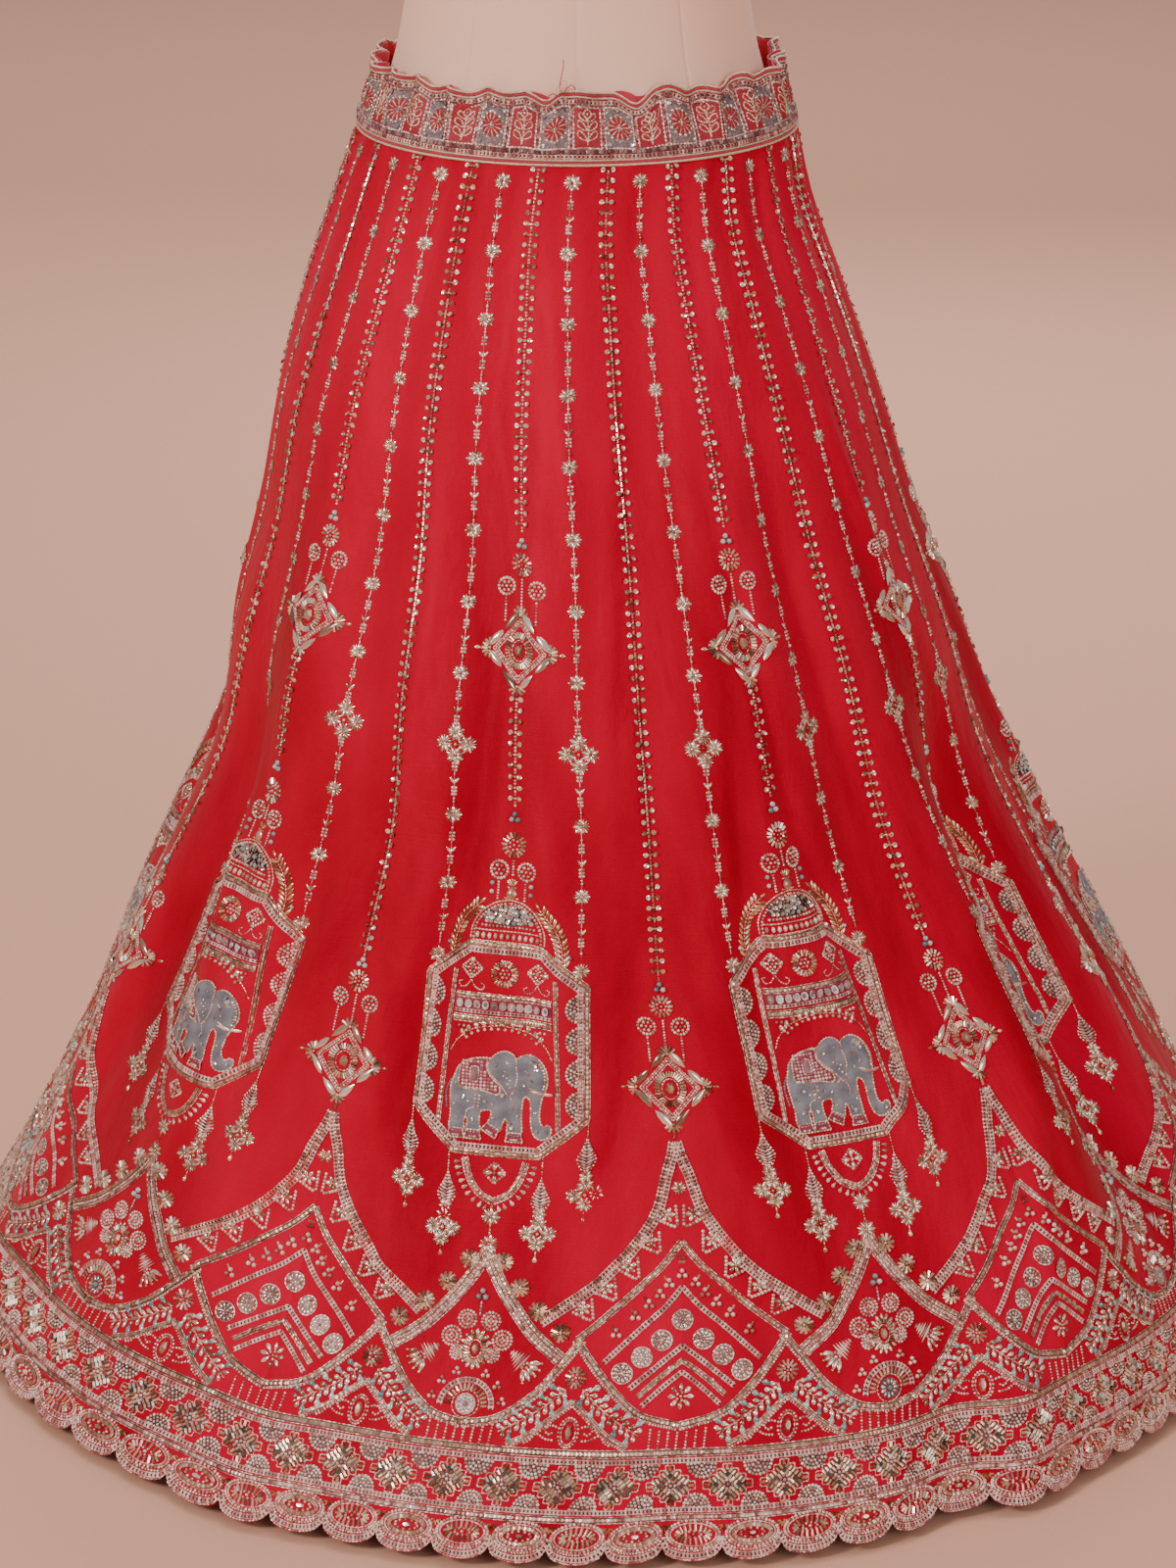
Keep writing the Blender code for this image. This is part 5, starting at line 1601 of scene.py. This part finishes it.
# ---- the dress form
# The form is a limbless torso, padded and covered in skin-toned jersey. Its panels
# meet in princess seams, and it stands on a steel pole in a round painted base,
# with a turned wooden cap on its neck.
FORM_SEAMS = (0, 36, 90, 144, 180, -144, -90, -36)
FORM_ROWS = 60
FORM_COLUMNS = 72
SEAM_GROOVE = 0.0008
SEAM_HALF_TURN = 0.55
beside_seams = [(turn + step) % 360 for turn in FORM_SEAMS for step in (-1.1, -0.5, 0, 0.5, 1.1)]
turns = np.concatenate([np.arange(FORM_COLUMNS) * 360 / FORM_COLUMNS, beside_seams])
turns = np.unique(np.round(turns, 3))
heights = np.linspace(TORSO_RINGS[-1].height, TORSO_RINGS[0].height, FORM_ROWS)
groove = SEAM_GROOVE * sum(np.exp(-(turn_between(turns, at) / SEAM_HALF_TURN) ** 2) for at in FORM_SEAMS)
wide, deep, shift = (table_curve(TORSO_RINGS, "height", name, heights)[:, None]
                     for name in ("half_width", "half_depth", "shift_y"))
angle = np.radians(turns)
points = np.broadcast_arrays((wide - groove) * np.sin(angle), shift - (deep - groove) * np.cos(angle),
                             heights[:, None])
torso_mesh = grid_mesh("form_cover", np.stack(points, axis=-1), closed=True)
jersey = Finish("skin_toned_jersey")
jersey.colour(jersey.texture("Noise", 7), (0.3, (0.97, 0.56, 0.41)), (0.7, (1, 0.6, 0.45)))
jersey.relief(jersey.texture("Noise", 1500, (1, 1, 0.5)), 0.25, 0.0002)
jersey.set(Roughness=0.75, Sheen_Weight=0.2)
torso = add_piece("form_cover", torso_mesh, jersey)
mend(torso, bpy.ops.mesh.fill_holes, sides=0)
torso.data.set_sharp_from_angle(angle=SHARP_EDGE)
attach(torso, "root")
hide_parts("form_torso")

# the stand: its CAD pieces are the right shape and only take their finishes
wood = Finish("turned_wood")
grain = wood.texture("Wave", 30, (1, 1, 0.2), Distortion=4, Detail=3)
grain.node.wave_type = 'RINGS'
wood.colour(grain, (0.2, (0.2, 0.09, 0.04)), (0.8, (0.36, 0.19, 0.09)))
wood.relief(grain, 0.15, 0.0004)
wood.set(Roughness=0.35, Coat_Weight=0.3)
steel = Finish("brushed_steel")
brush = steel.texture("Noise", 500, (1, 1, 0.02))
steel.colour(brush, (0.3, (0.46, 0.46, 0.48)), (0.7, (0.66, 0.66, 0.68)))
steel.relief(brush, 0.12, 0.0001)
steel.set(Metallic=1, Roughness=0.3)
paint = Finish("textured_black_paint")
grit = paint.texture("Noise", 700)
paint.colour(grit, (0.3, (0.03, 0.03, 0.032)), (0.7, (0.06, 0.06, 0.064)))
paint.relief(grit, 0.4, 0.0002)
paint.set(Roughness=0.45)
for node, made in (("form_cap", wood), ("form_pole", steel), ("form_base", paint)):
    for material_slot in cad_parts[node].material_slots:
        material_slot.material = made.material

# ---- the floor and lights
# The skirt stands on a plain pale floor among five soft round studio lamps, under an
# even, slightly warm sky. None of them is part of it.
FLOOR_REACH = 30
SKY_COLOUR = (0.82, 0.78, 0.75, 1)
SKY_STRENGTH = 0.55
floor_mesh = bpy.data.meshes.new("floor")
floor_corners = [(x * FLOOR_REACH, y * FLOOR_REACH, 0) for x, y in ((-1, -1), (1, -1), (1, 1), (-1, 1))]
floor_mesh.from_pydata(floor_corners, [], [(0, 1, 2, 3)])
floor_paint = Finish("floor_paint")
floor_paint.set(Base_Color=(0.8, 0.41, 0.28, 1), Roughness=0.9)
floor = add_piece("floor", floor_mesh, floor_paint)
floor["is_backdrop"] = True

Lamp = namedtuple("Lamp", "name place target size power colour")
LAMPS = [Lamp(*row) for row in (
    ("key", (-2.7, -2.8, 2.7), (0, 0, 0.6), 1, 90, (1, 0.97, 0.94)),
    ("fill", (1.9, -3.5, 1.9), (0, 0, 0.5), 2.2, 44, (1, 0.98, 0.97)),
    ("top", (0, 0.4, 3.8), (0, 0, 0.5), 2.8, 36, (1, 1, 1)),
    ("back", (0.6, 3.6, 2.4), (0, 0, 0.6), 2.4, 44, (1, 0.99, 0.98)),
    ("far", (0, 6, 4.5), (0, 6, 0), 4, 90, (1, 0.98, 0.96)))]
for lamp in LAMPS:
    light = bpy.data.lights.new(lamp.name, 'AREA')
    light.shape = 'DISK'
    light.size = lamp.size
    light.energy = lamp.power
    light.color = lamp.colour
    holder = bpy.data.objects.new(lamp.name, light)
    bpy.context.scene.collection.objects.link(holder)
    holder.location = lamp.place
    aim = Vector(lamp.target) - Vector(lamp.place)
    holder.rotation_euler = aim.to_track_quat('-Z', 'Y').to_euler()
world = bpy.data.worlds.new("studio")
bpy.context.scene.world = world
world.use_nodes = True
sky = world.node_tree.nodes["Background"].inputs
sky["Color"].default_value = SKY_COLOUR
sky["Strength"].default_value = SKY_STRENGTH

low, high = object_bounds()
